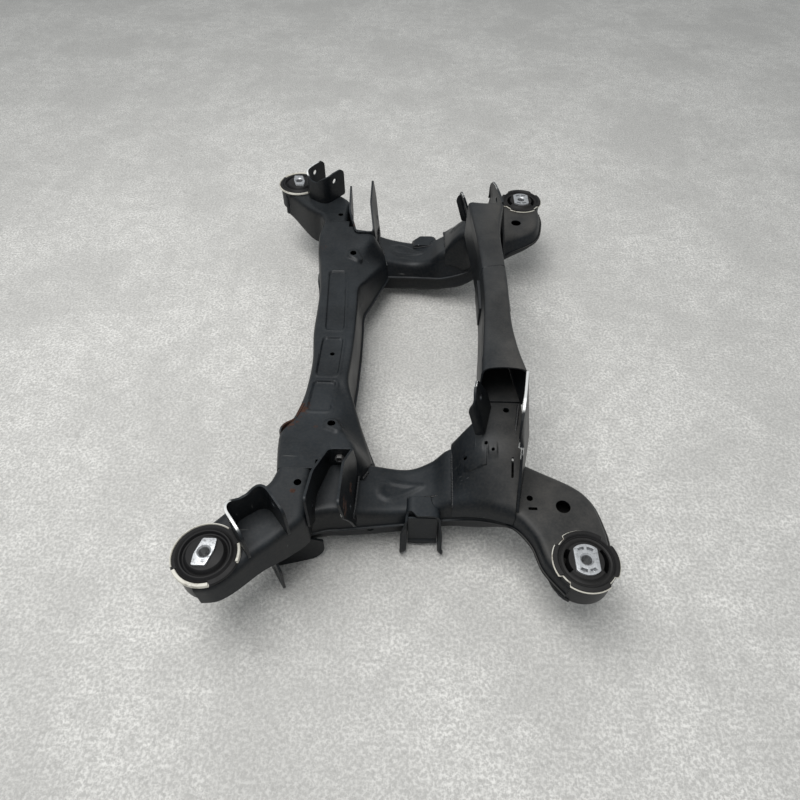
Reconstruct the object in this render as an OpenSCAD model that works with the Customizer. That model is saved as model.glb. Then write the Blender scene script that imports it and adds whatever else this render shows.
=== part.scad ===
// Rear axle subframe of pressed and welded sheet steel, with four rubber body bushes.
// X points to the rear, Y to the right, Z up. The part lies on the ground plane Z = 0.
// The left half (Y < 0) is drawn and mirrored. A lateral place is a distance from the middle plane.

/* [Layout] */
// Distance between the two front bushes
front_span = 1010; // [980:1:1040]
// Distance between the two rear bushes
rear_span = 972; // [950:1:1000]
// Distance from the front bushes to the rear bushes
bush_pitch = 553; // [540:1:570]
// Height of the front bush cores above the ground
front_core_top = 190; // [186:1:196]
// Height of the rear bush cores above the ground
rear_core_top = 160; // [156:1:166]

/* [Sheet metal] */
// Thickness of the pressed sheets
sheet_t = 3; // [2:0.5:4]
// Thickness of the bracket plates
plate_t = 4; // [3:0.5:5]
// Gap left in a welded seam
seam = 0.3; // [0.1:0.1:0.6]
// Reach of the rounding along the pressings' top edges
edge_r = 14; // [8:1:18]

/* [Front cross member] */
// Place of its middle line
front_beam_x = -145; // [-150:1:-140]
// Width of its crown at the middle
front_beam_w = 78; // [70:1:86]
// Height of its crown
front_beam_top = 156; // [150:1:162]
// Height of its bottom
front_beam_bottom = 45; // [38:1:52]
// Diameter of the collared holes near its ends
collar_hole_d = 14; // [8:1:18]

/* [Rear cross member] */
// Place of its middle line
rear_beam_x = 160; // [156:1:164]
// Width of its crown at the middle
rear_beam_w = 46; // [40:1:52]
// Height of its crown
rear_beam_top = 300; // [292:1:308]
// Lateral place where its crown ends
rear_beam_end = 240; // [234:1:246]

/* [Side rails] */
// Lateral place of the rail's middle line
rail_mid = 337; // [332:1:342]
// Width of the rail
rail_w = 94; // [88:1:100]
// Height of the rail's top
rail_top = 102; // [98:1:106]
// Height of the rail's bottom
rail_bottom = 24; // [20:1:30]
// Height of the pocket floor on the rear towers
tower_top = 218; // [212:1:224]
// Place of the tower's front edge
tower_x = 84; // [78:1:90]
// Diameter of the large hole in the rear arm
arm_hole_d = 23; // [16:1:28]

/* [Bushes] */
// Outer diameter of the welded sleeves
sleeve_d = 92; // [88:1:96]
// Wall of the welded sleeves
sleeve_wall = 3.5; // [2.5:0.5:4]
// Height of the sleeves
sleeve_h = 46; // [40:1:52]
// Diameter of the bush flanges
flange_d = 101; // [98:1:106]
// Height of the aluminium cores
core_h = 58; // [52:1:62]
// Diameter of the body bolt's bore
core_bore_d = 16; // [12:0.5:18]

/* [Link brackets] */
// Clear width of the link brackets
link_gap = 46; // [42:1:50]
// Diameter of the link bolts' bores
bolt_bore_d = 12.4; // [10.4:0.2:14.4]
// Clear width of the guide link bracket
guide_gap = 52; // [48:1:56]
// Height of the guide link bracket's bolt above the front arm
guide_bolt_z = 47; // [40:1:54]
// Height of the camber link bracket's bolt above the rail
camber_bolt_z = 52; // [46:1:58]
// Height of the lower link's bolt above the ground
lower_bolt_z = 26; // [24:1:32]
// Depth of the upper rear link's bolt below the rear cross member's crown
rear_bolt_drop = 26; // [22:1:30]

/* [Hidden] */
$fn = 48;

// Finishes
paint = [0.09, 0.10, 0.11];
rubber = [0.05, 0.05, 0.05];
pale_plastic = [0.82, 0.80, 0.72];
aluminium = [0.72, 0.73, 0.74];
steel = [0.45, 0.45, 0.46];

// Places worked out from the driving dimensions
front_x = -bush_pitch / 2;
rear_x = bush_pitch / 2;
front_y = front_span / 2;
rear_y = rear_span / 2;
front_core_rise = 13;
rear_core_rise = 8;
front_arm_top = front_core_top - front_core_rise;
rear_arm_top = rear_core_top - rear_core_rise;
rail_in = rail_mid - rail_w / 2;
rail_out = rail_mid + rail_w / 2;
rail_seam = rail_bottom + 0.6 * (rail_top - rail_bottom);
beam_left = front_beam_x - front_beam_w / 2;
beam_right = front_beam_x + front_beam_w / 2;
beam_seam = front_beam_bottom + 22;
lap = 9;
far = 1000;

// Curves, lofts and bent plates

function unit(v) = v / norm(v);
function last(p) = p[len(p) - 1];

// Value of the smooth curve through the stations p at t, counted in stations
function spline(p, t) =
    let (n = len(p) - 1, i = min(floor(t), n - 1), u = t - i)
    let (a = p[max(i - 1, 0)], b = p[i], c = p[i + 1], d = p[min(i + 2, n)])
    b + 0.5 * u * ((c - a) + u * ((2 * a - 5 * b + 4 * c - d) + u * (3 * b - a - 3 * c + d)));

function curve(p, steps) = [for (k = [0:steps]) spline(p, k / steps * (len(p) - 1))];

// Points that round the corner b between a and c over the reach d
function rounded(a, b, c, d, n = 3) =
    let (p = b + d * unit(a - b), q = b + d * unit(c - b))
    [for (k = [0:n]) let (t = k / n) (1 - t) * (1 - t) * p + 2 * t * (1 - t) * b + t * t * q];

// An open section: foot, two rounded corners, foot
function hat(foot_a, a, b, foot_b, d) =
    concat([foot_a], rounded(foot_a, a, b, d), rounded(a, b, foot_b, d), [foot_b]);

// The wall from foot to corner at the height h above its foot, moved by d at right angles to the wall
function inside_wall(foot, corner, h, d, inwards) =
    let (v = corner - foot)
    foot + v * h / v.z + inwards * d * norm(v) / v.z;

// Unit normal of the grid g at station i, point j
function grid_normal(g, i, j) =
    let (m = len(g) - 1, n = len(g[0]) - 1)
    unit(cross(g[i][min(j + 1, n)] - g[i][max(j - 1, 0)], g[min(i + 1, m)][j] - g[max(i - 1, 0)][j]));

// A pressed sheet: the grid g is its outer face, t its thickness
module sheet(g, t) {
    m = len(g);
    n = len(g[0]);
    inner = [for (i = [0:m - 1]) [for (j = [0:n - 1]) g[i][j] - t * grid_normal(g, i, j)]];
    function o(i, j) = i * n + j;
    function q(i, j) = m * n + i * n + j;
    function quad(a, b, c, d) = [[a, b, c], [a, c, d]];
    polyhedron(
        points = [for (side = [g, inner]) for (row = side) each row],
        faces = concat(
            [for (i = [0:m - 2]) for (j = [0:n - 2]) each concat(
                quad(o(i, j), o(i + 1, j), o(i + 1, j + 1), o(i, j + 1)),
                quad(q(i, j + 1), q(i + 1, j + 1), q(i + 1, j), q(i, j)))],
            [for (i = [0:m - 2]) each concat(
                quad(o(i + 1, 0), o(i, 0), q(i, 0), q(i + 1, 0)),
                quad(o(i, n - 1), o(i + 1, n - 1), q(i + 1, n - 1), q(i, n - 1)))],
            [for (j = [0:n - 2]) each concat(
                quad(o(0, j), o(0, j + 1), q(0, j + 1), q(0, j)),
                quad(o(m - 1, j + 1), o(m - 1, j), q(m - 1, j), q(m - 1, j + 1)))]));
}

// A closed solid through the loops g, one loop for each station
module loft(g) {
    m = len(g);
    n = len(g[0]);
    polyhedron(
        points = [for (row = g) each row],
        faces = concat(
            [[for (j = [0:n - 1]) j]],
            [[for (j = [n - 1:-1:0]) (m - 1) * n + j]],
            [for (i = [0:m - 2]) for (j = [0:n - 1]) let (k = (j + 1) % n) each [
                [i * n + j, (i + 1) * n + j, (i + 1) * n + k], [i * n + j, (i + 1) * n + k, i * n + k]]]));
}

// The stations p, carried a little past both ends
function past_ends(p) =
    concat([p[0] + (p[0] - p[1]) / 20], p, [last(p) + (last(p) - p[len(p) - 2]) / 20]);

// The plane path p moved sideways by d, to its left when d is positive
function parallel(p, d) =
    [for (i = [0:len(p) - 1])
        let (a = unit(p[max(i, 1)] - p[max(i, 1) - 1]))
        let (b = unit(p[min(i + 1, len(p) - 1)] - p[min(i, len(p) - 2)]))
        let (s = a + b)
        p[i] + d * 2 / (s * s) * [-s.y, s.x]];

// A plane path with its inner corners rounded over the reach d
function soft_path(p, d) =
    concat([p[0]], [for (i = [1:len(p) - 2]) each rounded(p[i - 1], p[i], p[i + 1], d)], [last(p)]);

// Section of a plate bent along the path p
module bent(p, t) {
    polygon(concat(parallel(p, t / 2), [for (i = [len(p) - 1:-1:0]) parallel(p, -t / 2)[i]]));
}

// Stands a plane shape, drawn as lateral place and height, across X from x0 to x1
module across_x(x0, x1) {
    translate([x0, 0, 0]) rotate([90, 0, 90]) linear_extrude(x1 - x0) mirror([1, 0]) children();
}

// Lays a bore along X at a lateral place w and a height z
module bore_x(w, z, d) {
    translate([-far / 2, -w, z]) rotate([0, 90, 0]) cylinder(d = d, h = far);
}

module hole_z(x, w, d) {
    translate([x, -w, 0]) cylinder(d = d, h = far);
}

module mirrored() {
    mirror([0, 1, 0]) children();
}

// Side rails, which run back into the rear arms

// The rail's top rises to a chute under the camber link bracket
chute_top = rail_top + 30;
chute_end = rail_top + 24;
// Station: inboard x, lateral, outboard x, lateral, top inboard, top outboard, seam, bottom
rail_stations = [
    [-200, rail_in + 30, -190, rail_out + 42, chute_top, chute_end, rail_seam + 6, rail_bottom + 18],
    [-130, rail_in + 8, -128, rail_out + 19, chute_top, chute_end, rail_seam + 3, rail_bottom + 8],
    [-92, rail_in + 2, -96, rail_out + 14, chute_top - 2, chute_end - 2, rail_seam + 1, rail_bottom + 3],
    [-48, rail_in, -56, rail_out + 8, rail_top + 10, rail_top + 7, rail_seam, rail_bottom],
    [10, rail_in, 8, rail_out, rail_top, rail_top, rail_seam, rail_bottom],
    [50, rail_in - 9, 50, rail_out - 3, rail_top + 12, rail_top + 6, rail_seam + 6, rail_bottom + 5],
    [tower_x, rail_in - 15, tower_x, rail_out - 4, rail_top + 46, rail_top + 24,
        rail_seam + 12, rail_bottom + 14],
    [rear_x - 137, rail_in - 10, rear_x - 144, rail_out + 4, rear_arm_top + 2, rear_arm_top - 4,
        rear_arm_top - 54, rail_bottom + 26],
    [rear_x - 49, rear_y - 164, rear_x - 100, rear_y - 76, rear_arm_top, rear_arm_top,
        rear_arm_top - 36, rear_arm_top - 63],
    [rear_x + 19, rear_y - 121, rear_x - 72, rear_y - 40, rear_arm_top, rear_arm_top,
        rear_arm_top - 30, rear_arm_top - 51],
    [rear_x + 40, rear_y - 58, rear_x - 58, rear_y + 4, rear_arm_top, rear_arm_top,
        rear_arm_top - 28, rear_arm_top - 46],
    [rear_x + 43, rear_y - 12, rear_x - 31, rear_y + 42, rear_arm_top, rear_arm_top,
        rear_arm_top - 26, rear_arm_top - 44]
];
rail_curve = curve(rail_stations, 27);

// Point of a rail station: e is 0 inboard and 1 outboard, d goes inwards
function rail_point(s, e, z, d) =
    let (a = [s[0], -s[1]], b = [s[2], -s[3]], u = unit(b - a), p = e == 0 ? a + d * u : b - d * u)
    [p.x, p.y, z];

rail_draft = 3;
rail_lean = 9;
tray_gap = sheet_t + 4 * seam;
// Foot and top corner of a wall, e as above, grown by d
function rail_foot(s, e, d) = rail_point(s, e, s[6], (e == 0 ? -rail_lean : 0) - d);
function rail_corner(s, e, d) = rail_point(s, e, s[4 + e] + d, rail_draft - d);
function rail_inwards(s, e) = let (v = [s[2] - s[0], s[1] - s[3], 0]) unit(e == 0 ? v : -v);
function rail_rim(s, e) =
    inside_wall(rail_foot(s, e, 0), rail_corner(s, e, 0), lap, tray_gap, rail_inwards(s, e));
function rail_hem(s, e, z) =
    let (p = rail_foot(s, e, 0) + (tray_gap + rail_draft) * rail_inwards(s, e))
    [p.x, p.y, z];

function rail_hat(s, d = 0) =
    hat(rail_foot(s, 0, d), rail_corner(s, 0, d), rail_corner(s, 1, d), rail_foot(s, 1, d), edge_r);
function rail_tray(s) =
    hat(rail_rim(s, 1), rail_hem(s, 1, s[7]), rail_hem(s, 0, s[7]), rail_rim(s, 0), edge_r);

// Everything inside the rail's outer faces and a seam round them, for the stations between x0 and x1
module rail_body(x0 = -far, x1 = far) {
    loft([for (s = past_ends([for (s = rail_curve) if (s[0] > x0 && s[0] < x1) s]))
        concat(rail_hat(s, seam), [rail_hem(s, 1, s[7] - seam), rail_hem(s, 0, s[7] - seam)])]);
}

module rear_bush_place() {
    translate([rear_x, -rear_y, rear_arm_top + seam]) children();
}

module front_bush_place() {
    translate([front_x, -front_y, front_arm_top + seam]) children();
}

// Room for a sleeve, from its top downwards
module sleeve_room() {
    translate([0, 0, -far / 2]) cylinder(d = sleeve_d + 2 * seam, h = far, $fn = 96);
}

// A raised drop-shaped pressing on the rail's flat top
module rail_drop(lift) {
    translate([0, 0, rail_top + lift]) hull() {
        translate([-18, -rail_mid - 2, -sheet_t]) cylinder(r1 = 26, r2 = 20, h = 2 * sheet_t, $fn = 32);
        translate([30, -rail_mid + 6, -sheet_t]) cylinder(r1 = 11, r2 = 5, h = 2 * sheet_t, $fn = 32);
    }
}

module rail_upper() {
    difference() {
        union() {
            sheet([for (s = rail_curve) rail_hat(s)], sheet_t);
            rail_drop(0);
        }
        rail_drop(-sheet_t);
        rear_bush_place() sleeve_room();
        intersection() {
            translate([0, 0, rear_arm_top - 2 * sheet_t]) cylinder(r = far, h = far);
            union() {
                hole_z(rear_x - 20, rear_y - 93, arm_hole_d);
                hole_z(rear_x - 71, rear_y - 107, 10);
                translate([rear_x - 68, 88 - rear_y, rear_arm_top]) cube([14, 5, far], center = true);
            }
        }
        translate([-51, -rail_mid, rail_bottom + 27]) rotate([90, 0, 0]) cylinder(d = 12, h = rail_w);
    }
}

module rail_lower() {
    difference() {
        sheet([for (k = [0:len(rail_curve) - 2]) rail_tray(rail_curve[k])], sheet_t);
        rear_bush_place() sleeve_room();
        translate([-51, -rail_mid, rail_bottom + 27]) rotate([90, 0, 0]) cylinder(d = 12, h = rail_w);
    }
}

// Front cross member

// Half station: lateral, crest, rear edge, front rise, crest rise, rear rise, foot rise
beam_half = [
    [0.26 * rail_in, -36, 4, 0, 0, 0, 0],
    [0.47 * rail_in, -36, 3, 0, 0, 0, 0],
    [0.63 * rail_in, -14, 18, 0, 0, -17, 0],
    [0.79 * rail_in, -8, 34, 1, 1, -33, 0],
    [0.9 * rail_in, 4, 46, 4, 6, -45, 0],
    [rail_in, 22, 55, 10, 14, -54, 0],
    [rail_in + 23, 21, 46, 15, 18, -36, -10],
    [rail_in + 62, -4, 36, 21, 21, -56, -20]
];
// The front edge leaves its straight line by these amounts at the half stations
front_edge_left = [7, 6, 1, -11, -26, -25, -22, -16];
front_edge_right = [-1, -3, -8, -14, -20, -22, -22, -16];
// Station: lateral, front edge, then as in a half station
function beam_station(side, k) =
    let (b = beam_half[k], e = side < 0 ? front_edge_left[k] : front_edge_right[k])
    [side * b[0], e, b[1], b[2], b[3], b[4], b[5], b[6]];
beam_ends = len(beam_half) - 1;
beam_stations = concat(
    [for (k = [beam_ends:-1:0]) beam_station(-1, k)],
    [[0, 0, -36, 5, 0, 0, 0, 0]],
    [for (k = [0:beam_ends]) beam_station(1, k)]);
beam_curve = curve(beam_stations, 36);
beam_draft = 6;

// Foot and top corner of a wall, e is 0 at the front and 1 at the rear
function beam_foot(s, e) =
    [e == 0 ? beam_left + s[1] - beam_draft : beam_right + s[3] + beam_draft, s[0], beam_seam + s[7]];
function beam_corner(s, e) =
    [e == 0 ? beam_left + s[1] : beam_right + s[3], s[0], front_beam_top + (e == 0 ? s[4] : s[6])];
function beam_crest(s) = [beam_right + s[2], s[0], front_beam_top + s[5]];
function beam_inwards(e) = [1 - 2 * e, 0, 0];
function beam_rim(s, e) = inside_wall(beam_foot(s, e), beam_corner(s, e), lap, tray_gap, beam_inwards(e));
function beam_hem(s, e) =
    let (p = beam_foot(s, e) + (tray_gap + rail_draft) * beam_inwards(e))
    [p.x, p.y, front_beam_bottom];

function beam_hat(s) =
    let (a = beam_foot(s, 0), b = beam_corner(s, 0), c = beam_crest(s))
    let (d = beam_corner(s, 1), e = beam_foot(s, 1))
    concat([a], rounded(a, b, c, edge_r), rounded(b, c, d, edge_r), rounded(c, d, e, 0.7 * edge_r), [e]);
function beam_tray(s) = hat(beam_rim(s, 1), beam_hem(s, 1), beam_hem(s, 0), beam_rim(s, 0), edge_r / 2);

// A sunk field of the crown between two lateral places, grown by d
field_w = front_beam_w - 38;
field_depth = 4;
module crown_field(y0, y1, d) {
    slope = field_depth + d;
    translate([front_beam_x - field_w / 2, y0, front_beam_top]) hull() {
        translate([-d, -d, -slope]) cube([field_w + 2 * d, y1 - y0 + 2 * d, 1]);
        translate([-slope, -slope, d > 0 ? -1 - seam : 0])
            cube([field_w + 2 * slope, y1 - y0 + 2 * slope, 1]);
    }
}

module crown_fields(d) {
    crown_field(-205, -146, d);
    crown_field(-120, -30, d);
    crown_field(4, 182, d);
}

// Hole near the crown's ends and the raised collar round it
module collar_place() {
    translate([front_beam_x + 22, -0.845 * rail_in, front_beam_top]) children();
}

module collar() {
    collar_place() translate([0, 0, -2.5 * sheet_t])
        cylinder(d1 = 2.8 * collar_hole_d, d2 = 1.8 * collar_hole_d, h = 4.5 * sheet_t);
}

module front_beam_shell() {
    difference() {
        union() {
            sheet([for (s = beam_curve) beam_hat(s)], sheet_t);
            crown_fields(sheet_t);
            collar();
            mirrored() collar();
        }
        crown_fields(0);
        translate([front_beam_x + 5, -66, front_beam_top - far / 2]) cylinder(d = 9, h = far);
        for (side = [0, 1]) mirror([0, side, 0]) {
            collar_place() cylinder(d = collar_hole_d, h = far, center = true);
            camber_pocket(seam);
            arm_room();
            rail_body(-far, 40);
        }
    }
}

module front_beam_tray() {
    difference() {
        sheet([for (s = beam_curve) if (abs(s[0]) < rail_in + 10) beam_tray(s)], sheet_t);
        for (side = [0, 1]) mirror([0, side, 0]) rail_body(-far, 40);
    }
}

// The space that the front arm and the rail's top take from the front cross member
module arm_room() {
    translate([-far, seam - arm_start - far, 0]) cube([far + camber_left, far, far]);
    translate([camber_left, -camber_back - 22 - far, 0]) cube(far);
}

// Front arms

arm_wall = beam_right - 35;
arm_front_drop = 9;
arm_start = rail_in + 59;
// Station: front edge x, lateral, outboard edge x, lateral, foot
arm_stations = [
    [beam_left - 15, arm_start, arm_wall, arm_start, rail_top + seam],
    [beam_left - 28, rail_in + 86, arm_wall, rail_in + 108, rail_top + seam],
    [beam_left - 51, rail_in + 105, arm_wall - 1, rail_in + 147, rail_top + seam],
    [front_x + 22, front_y - 91, front_x + 106, front_y - 36, rail_top + 6],
    [front_x - 9, front_y - 56, front_x + 72, front_y - 4, front_arm_top - 56],
    [front_x - 25, front_y - 40, front_x + 40, front_y + 31, front_arm_top - 50],
    [front_x - 30, front_y - 38, front_x + 17, front_y + 47, front_arm_top - 49],
    [front_x - 34, front_y - 35, front_x - 6, front_y + 51, front_arm_top - 48]
];
arm_curve = curve(arm_stations, 16);

function arm_hat(s) =
    hat([s[2], -s[3], s[4]], [s[2] - 3, -s[3], front_arm_top],
        [s[0] + 3, -s[1], front_arm_top], [s[0], -s[1], s[4] - arm_front_drop], edge_r);

module front_arm_shell() {
    difference() {
        sheet([for (s = arm_curve) arm_hat(s)], sheet_t);
        front_bush_place() sleeve_room();
        camber_pocket(seam);
        rail_body(-far, -20);
        hole_z(beam_left + 22, rail_in + 86, 12);
    }
}

arm_floor_z = front_arm_top - 50;
module front_arm_floor() {
    d = 2 * sheet_t;
    mid = arm_curve[7];
    difference() {
        translate([0, 0, arm_floor_z]) linear_extrude(sheet_t) polygon(concat(
            [for (k = [1:len(arm_curve) - 1]) let (s = arm_curve[k], a = [s[0], -s[1]], b = [s[2], -s[3]])
                a + d * unit(b - a)],
            [for (k = [len(arm_curve) - 1:-1:1]) let (s = arm_curve[k], a = [s[0], -s[1]], b = [s[2], -s[3]])
                b - d * unit(b - a)]));
        front_bush_place() sleeve_room();
        camber_pocket(seam);
        rail_body(-far, -20);
        hole_z((mid[0] + mid[2]) / 2, (mid[1] + mid[3]) / 2, 14);
    }
}

// Rear towers

// Station: x, inboard crest, outboard crest, inboard top, outboard top, inboard foot
tower_stations = [
    [tower_x, rail_in - 19, rail_out + 1, rail_top + 52, rail_top + 29, rail_bottom + 50],
    [tower_x + 18, rail_in - 22, rail_out + 4, tower_top - 33, rail_top + 37, rail_bottom + 52],
    [tower_x + 40, rail_in - 34, rail_out + 9, tower_top - 8, rear_arm_top - 6, rail_bottom + 62],
    [tower_x + 66, rear_beam_end - 22, rail_out + 17, tower_top, rear_arm_top + 1, rail_bottom + 90],
    [tower_x + 112, rear_beam_end - 22, rail_out + 32, tower_top, rear_arm_top + 2, rail_bottom + 110]
];
tower_curve = curve(tower_stations, 12);

function tower_hat(s) =
    let (foot_in = [s[0], 19 - rail_in, s[5]], a = [s[0], -s[1], s[3]])
    let (m = [s[0], -rail_mid + 20, s[3] - 4], b = [s[0], -s[2], s[4]])
    let (foot_out = [s[0], -s[2] - 2, s[4] - 30])
    concat([foot_in], rounded(foot_in, a, m, edge_r), rounded(a, m, b, 2 * edge_r),
        rounded(m, b, foot_out, edge_r), [foot_out]);

// Everything below the towers' outer faces and a seam above them
module tower_body() {
    loft([for (s = tower_curve) [for (p = tower_hat(s)) p + [0, seam, seam]]]);
}

// Everything behind the outer ear's front face
module behind_tower() {
    gap = 1.1 * plate_t + seam;
    ear_place() loft([for (u = [1.2:-0.2:-0.4]) let (a = ear_flare(u, 1.2), b = ear_flare(u, 0)) [
        a - [gap, 0, 0], b - [gap, 0, 0], b + [far, 0, 0], a + [far, 0, 0]]]);
}

module rear_tower() {
    difference() {
        sheet([for (s = tower_curve) tower_hat(s)], sheet_t);
        rail_body(20);
        behind_tower();
        translate([rear_beam_x + 10, -rear_beam_end - 12, tower_top - far / 2]) cylinder(d = 10, h = far);
    }
}

// Rear cross member

// Station: lateral, left edge, right edge
rear_beam_half = [[60, -1, -1], [125, -5, -2], [185, -10, 3], [rear_beam_end, -14, 13]];
rear_beam_stations = concat(
    [for (k = [len(rear_beam_half) - 1:-1:0])
        [-rear_beam_half[k][0], rear_beam_half[k][1], rear_beam_half[k][2]]],
    [[0, 0, 0]],
    rear_beam_half);
rear_beam_curve = curve(rear_beam_stations, 20);
rear_beam_draft = 2;

function rear_left(s) = rear_beam_x - rear_beam_w / 2 + s[1];
function rear_right(s) = rear_beam_x + rear_beam_w / 2 + s[2];
function rear_hat(s) =
    hat([rear_left(s) - rear_beam_draft, s[0], tower_top + seam], [rear_left(s), s[0], rear_beam_top],
        [rear_right(s), s[0], rear_beam_top], [rear_right(s) + rear_beam_draft, s[0], tower_top + seam],
        edge_r - 2);

module rear_beam_shell() {
    sheet([for (s = rear_beam_curve) rear_hat(s)], sheet_t);
}

module rear_beam_floor() {
    d = sheet_t + 2 * seam - rear_beam_draft;
    translate([0, 0, tower_top + seam]) linear_extrude(sheet_t) difference() {
        polygon(concat([for (s = rear_beam_curve) [rear_left(s) + d, s[0]]],
            [for (k = [len(rear_beam_curve) - 1:-1:0])
                [rear_right(rear_beam_curve[k]) - d, rear_beam_curve[k][0]]]));
        for (y = [-120, 0, 120]) translate([rear_beam_x, y]) circle(d = 20);
    }
}

// Ears of the upper rear link's clevis

ear_r = 26;
ear_start_w = rear_beam_end + 2 * seam;
ear_in_x = rear_beam_x - rear_beam_w / 2 - 14;
ear_in_turn = -14;
ear_in_lean = 17;
ear_in_step = 20;
ear_in_len = 58;
ear_in_foot = tower_top - 2;
rear_bolt_u = 32;
rear_bolt_h = rear_beam_top - rear_bolt_drop;

// The inner ear's place beside the cross member's front wall
module ear_in_place() {
    translate([ear_in_x, -ear_start_w, 0]) rotate([0, 0, ear_in_turn]) children();
}

// The bolt of the clevis, square to the inner ear
module rear_bolt() {
    ear_in_place() translate([-far / 2, -rear_bolt_u, rear_bolt_h]) rotate([0, 90, 0])
        cylinder(d = bolt_bore_d, h = far);
}

// The inner ear stands on the pocket floor and leans to the front
module rear_ear_inner() {
    bolt_h = (rear_bolt_h - ear_in_foot) / cos(ear_in_lean);
    difference() {
        ear_in_place() translate([ear_in_step, 0, ear_in_foot]) rotate([0, -ear_in_lean, 0]) {
            across_x(0, plate_t) {
                translate([rear_bolt_u, bolt_h]) circle(ear_r);
                polygon([[0, 0], [ear_in_len, 0], [rear_bolt_u + ear_r, bolt_h],
                    [rear_bolt_u - 6, bolt_h + ear_r + 4], [0, 0.6 * bolt_h]]);
            }
            translate([plate_t, plate_t - ear_in_len, 0]) rotate([90, 0, 0]) linear_extrude(plate_t)
                polygon([[0, 0], [0, bolt_h + 4], [-8, bolt_h], [-10, 0.6 * bolt_h], [-5, 0]]);
        }
        rear_bolt();
        tower_body();
    }
}

ear_foot_z = rear_arm_top + 5 * seam;
ear_bend_z = tower_top + 26;
ear_lap = 2;
ear_turn = -10;
ear_out_len = 111;

// Stands the outer ear in the line of the cross member's rear wall
module ear_place() {
    translate([rear_right(last(rear_beam_curve)) - plate_t, -rear_beam_end - 3 * seam, 0])
        rotate([0, 0, ear_turn]) children();
}

// Point of the ear's lower part, which flares out to the rear arm: u along the ear, t downwards
function ear_flare(u, t) = [plate_t + t * (24 - 6 * u), -u * (ear_out_len + 47 * t) - 6 * t,
    ear_bend_z + ear_lap + t * (ear_foot_z - ear_bend_z - ear_lap)];

module rear_ear_outer() {
    bolt_u = rear_bolt_u + 17;
    difference() {
        ear_place() union() {
            across_x(0, plate_t) polygon([
                [0, ear_bend_z], [ear_out_len, ear_bend_z], [ear_out_len - 3, ear_bend_z + 8],
                [ear_out_len - 9, rear_beam_top - 28], [ear_out_len - 17, rear_beam_top - 12],
                [ear_out_len - 31, rear_beam_top], [60, rear_beam_top + 4],
                [30, rear_beam_top + 3], [0, rear_beam_top]]);
            sheet([for (k = [8:-1:0]) [for (j = [0:4]) ear_flare(k / 8, j / 4)]], plate_t);
        }
        rear_bolt();
    }
}

// Camber link bracket: a tall U pocket beside the front cross member, open outboard

camber_left = beam_right - 33;
camber_right = camber_left + link_gap + plate_t;
camber_back = rail_in + 18;
camber_end = rail_out + 66;
camber_path = soft_path([
    [camber_right, -camber_end], [camber_right, -camber_back - 56], [camber_right + 9, -camber_back],
    [camber_left + 18, -camber_back], [camber_left, -camber_back - 58], [camber_left - 1, -camber_end]], 8);

// Everything inside the bracket's outer faces, grown by d
module camber_pocket(d) {
    linear_extrude(far) polygon(parallel(camber_path, -plate_t / 2 - d));
}

module camber_link_bracket() {
    foot = rail_top + seam;
    bolt_w = camber_end - 48;
    camber_back_top = front_beam_top + 20;
    difference() {
        intersection() {
            translate([0, 0, foot]) linear_extrude(far) bent(camber_path, plate_t);
            union() {
                across_x(camber_right - plate_t, far) polygon([
                    [camber_back - 4, foot], [rail_out + 26, foot], [rail_out + 36, foot + 30],
                    [camber_end - 16, foot + 62], [camber_end - 4, foot + 86], [camber_end, foot + 116],
                    [camber_end - 8, foot + 128], [camber_back + 56, foot + 115],
                    [camber_back - 4, camber_back_top]]);
                across_x(-far, camber_right - plate_t) polygon([
                    [camber_back - 4, foot], [rail_out + 15, foot], [camber_end - 16, foot + 40],
                    [camber_end - 13, foot + 112], [camber_end - 22, foot + 118],
                    [camber_back + 60, foot + 94], [camber_back - 4, camber_back_top]]);
            }
        }
        bore_x(bolt_w, rail_top + camber_bolt_z, bolt_bore_d);
        rail_body(-far, -20);
    }
}

// Guide link bracket: a U on top of the front arm, open outboard

guide_turn = -52.3;
guide_len = 66;
guide_base = front_arm_top + seam;

module guide_place() {
    translate([front_x + 50, 68 - front_y, guide_base]) rotate([0, 0, guide_turn]) children();
}

module guide_ear() {
    rotate([90, 0, 0]) linear_extrude(plate_t) {
        translate([guide_len - 16, guide_bolt_z + 6]) circle(16);
        polygon([[0, 0], [guide_len - 6, 0], [guide_len, guide_bolt_z + 6],
            [guide_len - 16, guide_bolt_z + 22], [0, guide_bolt_z + 17]]);
    }
}

module guide_link_bracket() {
    guide_place() difference() {
        union() {
            for (v = [-guide_gap / 2, guide_gap / 2 + plate_t]) translate([0, v, 0]) guide_ear();
            translate([0, -guide_gap / 2, 0]) cube([plate_t, guide_gap, guide_bolt_z + 4]);
        }
        translate([guide_len / 2, far / 2, guide_bolt_z]) rotate([90, 0, 0])
            cylinder(d = bolt_bore_d, h = far);
    }
}

// Lower link bracket: an inverted U over the rail's outboard edge, down to the ground

lower_x = 38;
lower_end = rail_out + 26;
lower_bolt_w = lower_end - 18;
lower_foot_r = 18;

module lower_link_bracket() {
    half = link_gap / 2 + plate_t / 2;
    top = rail_top + seam + plate_t / 2;
    path = soft_path([
        [lower_x - half, 0], [lower_x - half, top], [lower_x + half, top], [lower_x + half, 0]], 10);
    difference() {
        intersection() {
            translate([0, -rail_mid, 0]) rotate([90, 0, 0]) linear_extrude(far) bent(path, plate_t);
            across_x(-far, far) {
                translate([lower_bolt_w, lower_foot_r]) circle(lower_foot_r);
                polygon([[lower_bolt_w - lower_foot_r, lower_foot_r], [lower_end, lower_foot_r],
                    [lower_end - 20, top + plate_t], [lower_end - 55, top + plate_t],
                    [lower_bolt_w - lower_foot_r, rail_bottom + 12]]);
            }
        }
        rail_body(-40, 115);
        bore_x(lower_bolt_w, lower_bolt_z, bolt_bore_d);
    }
}

// Front lower bracket: a web on the rail's outboard wall and an ear under the front arm

lower_ear_turn = -57;
lower_web_turn = 14;
lower_web_len = 92;
lower_web_r = 34;

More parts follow.
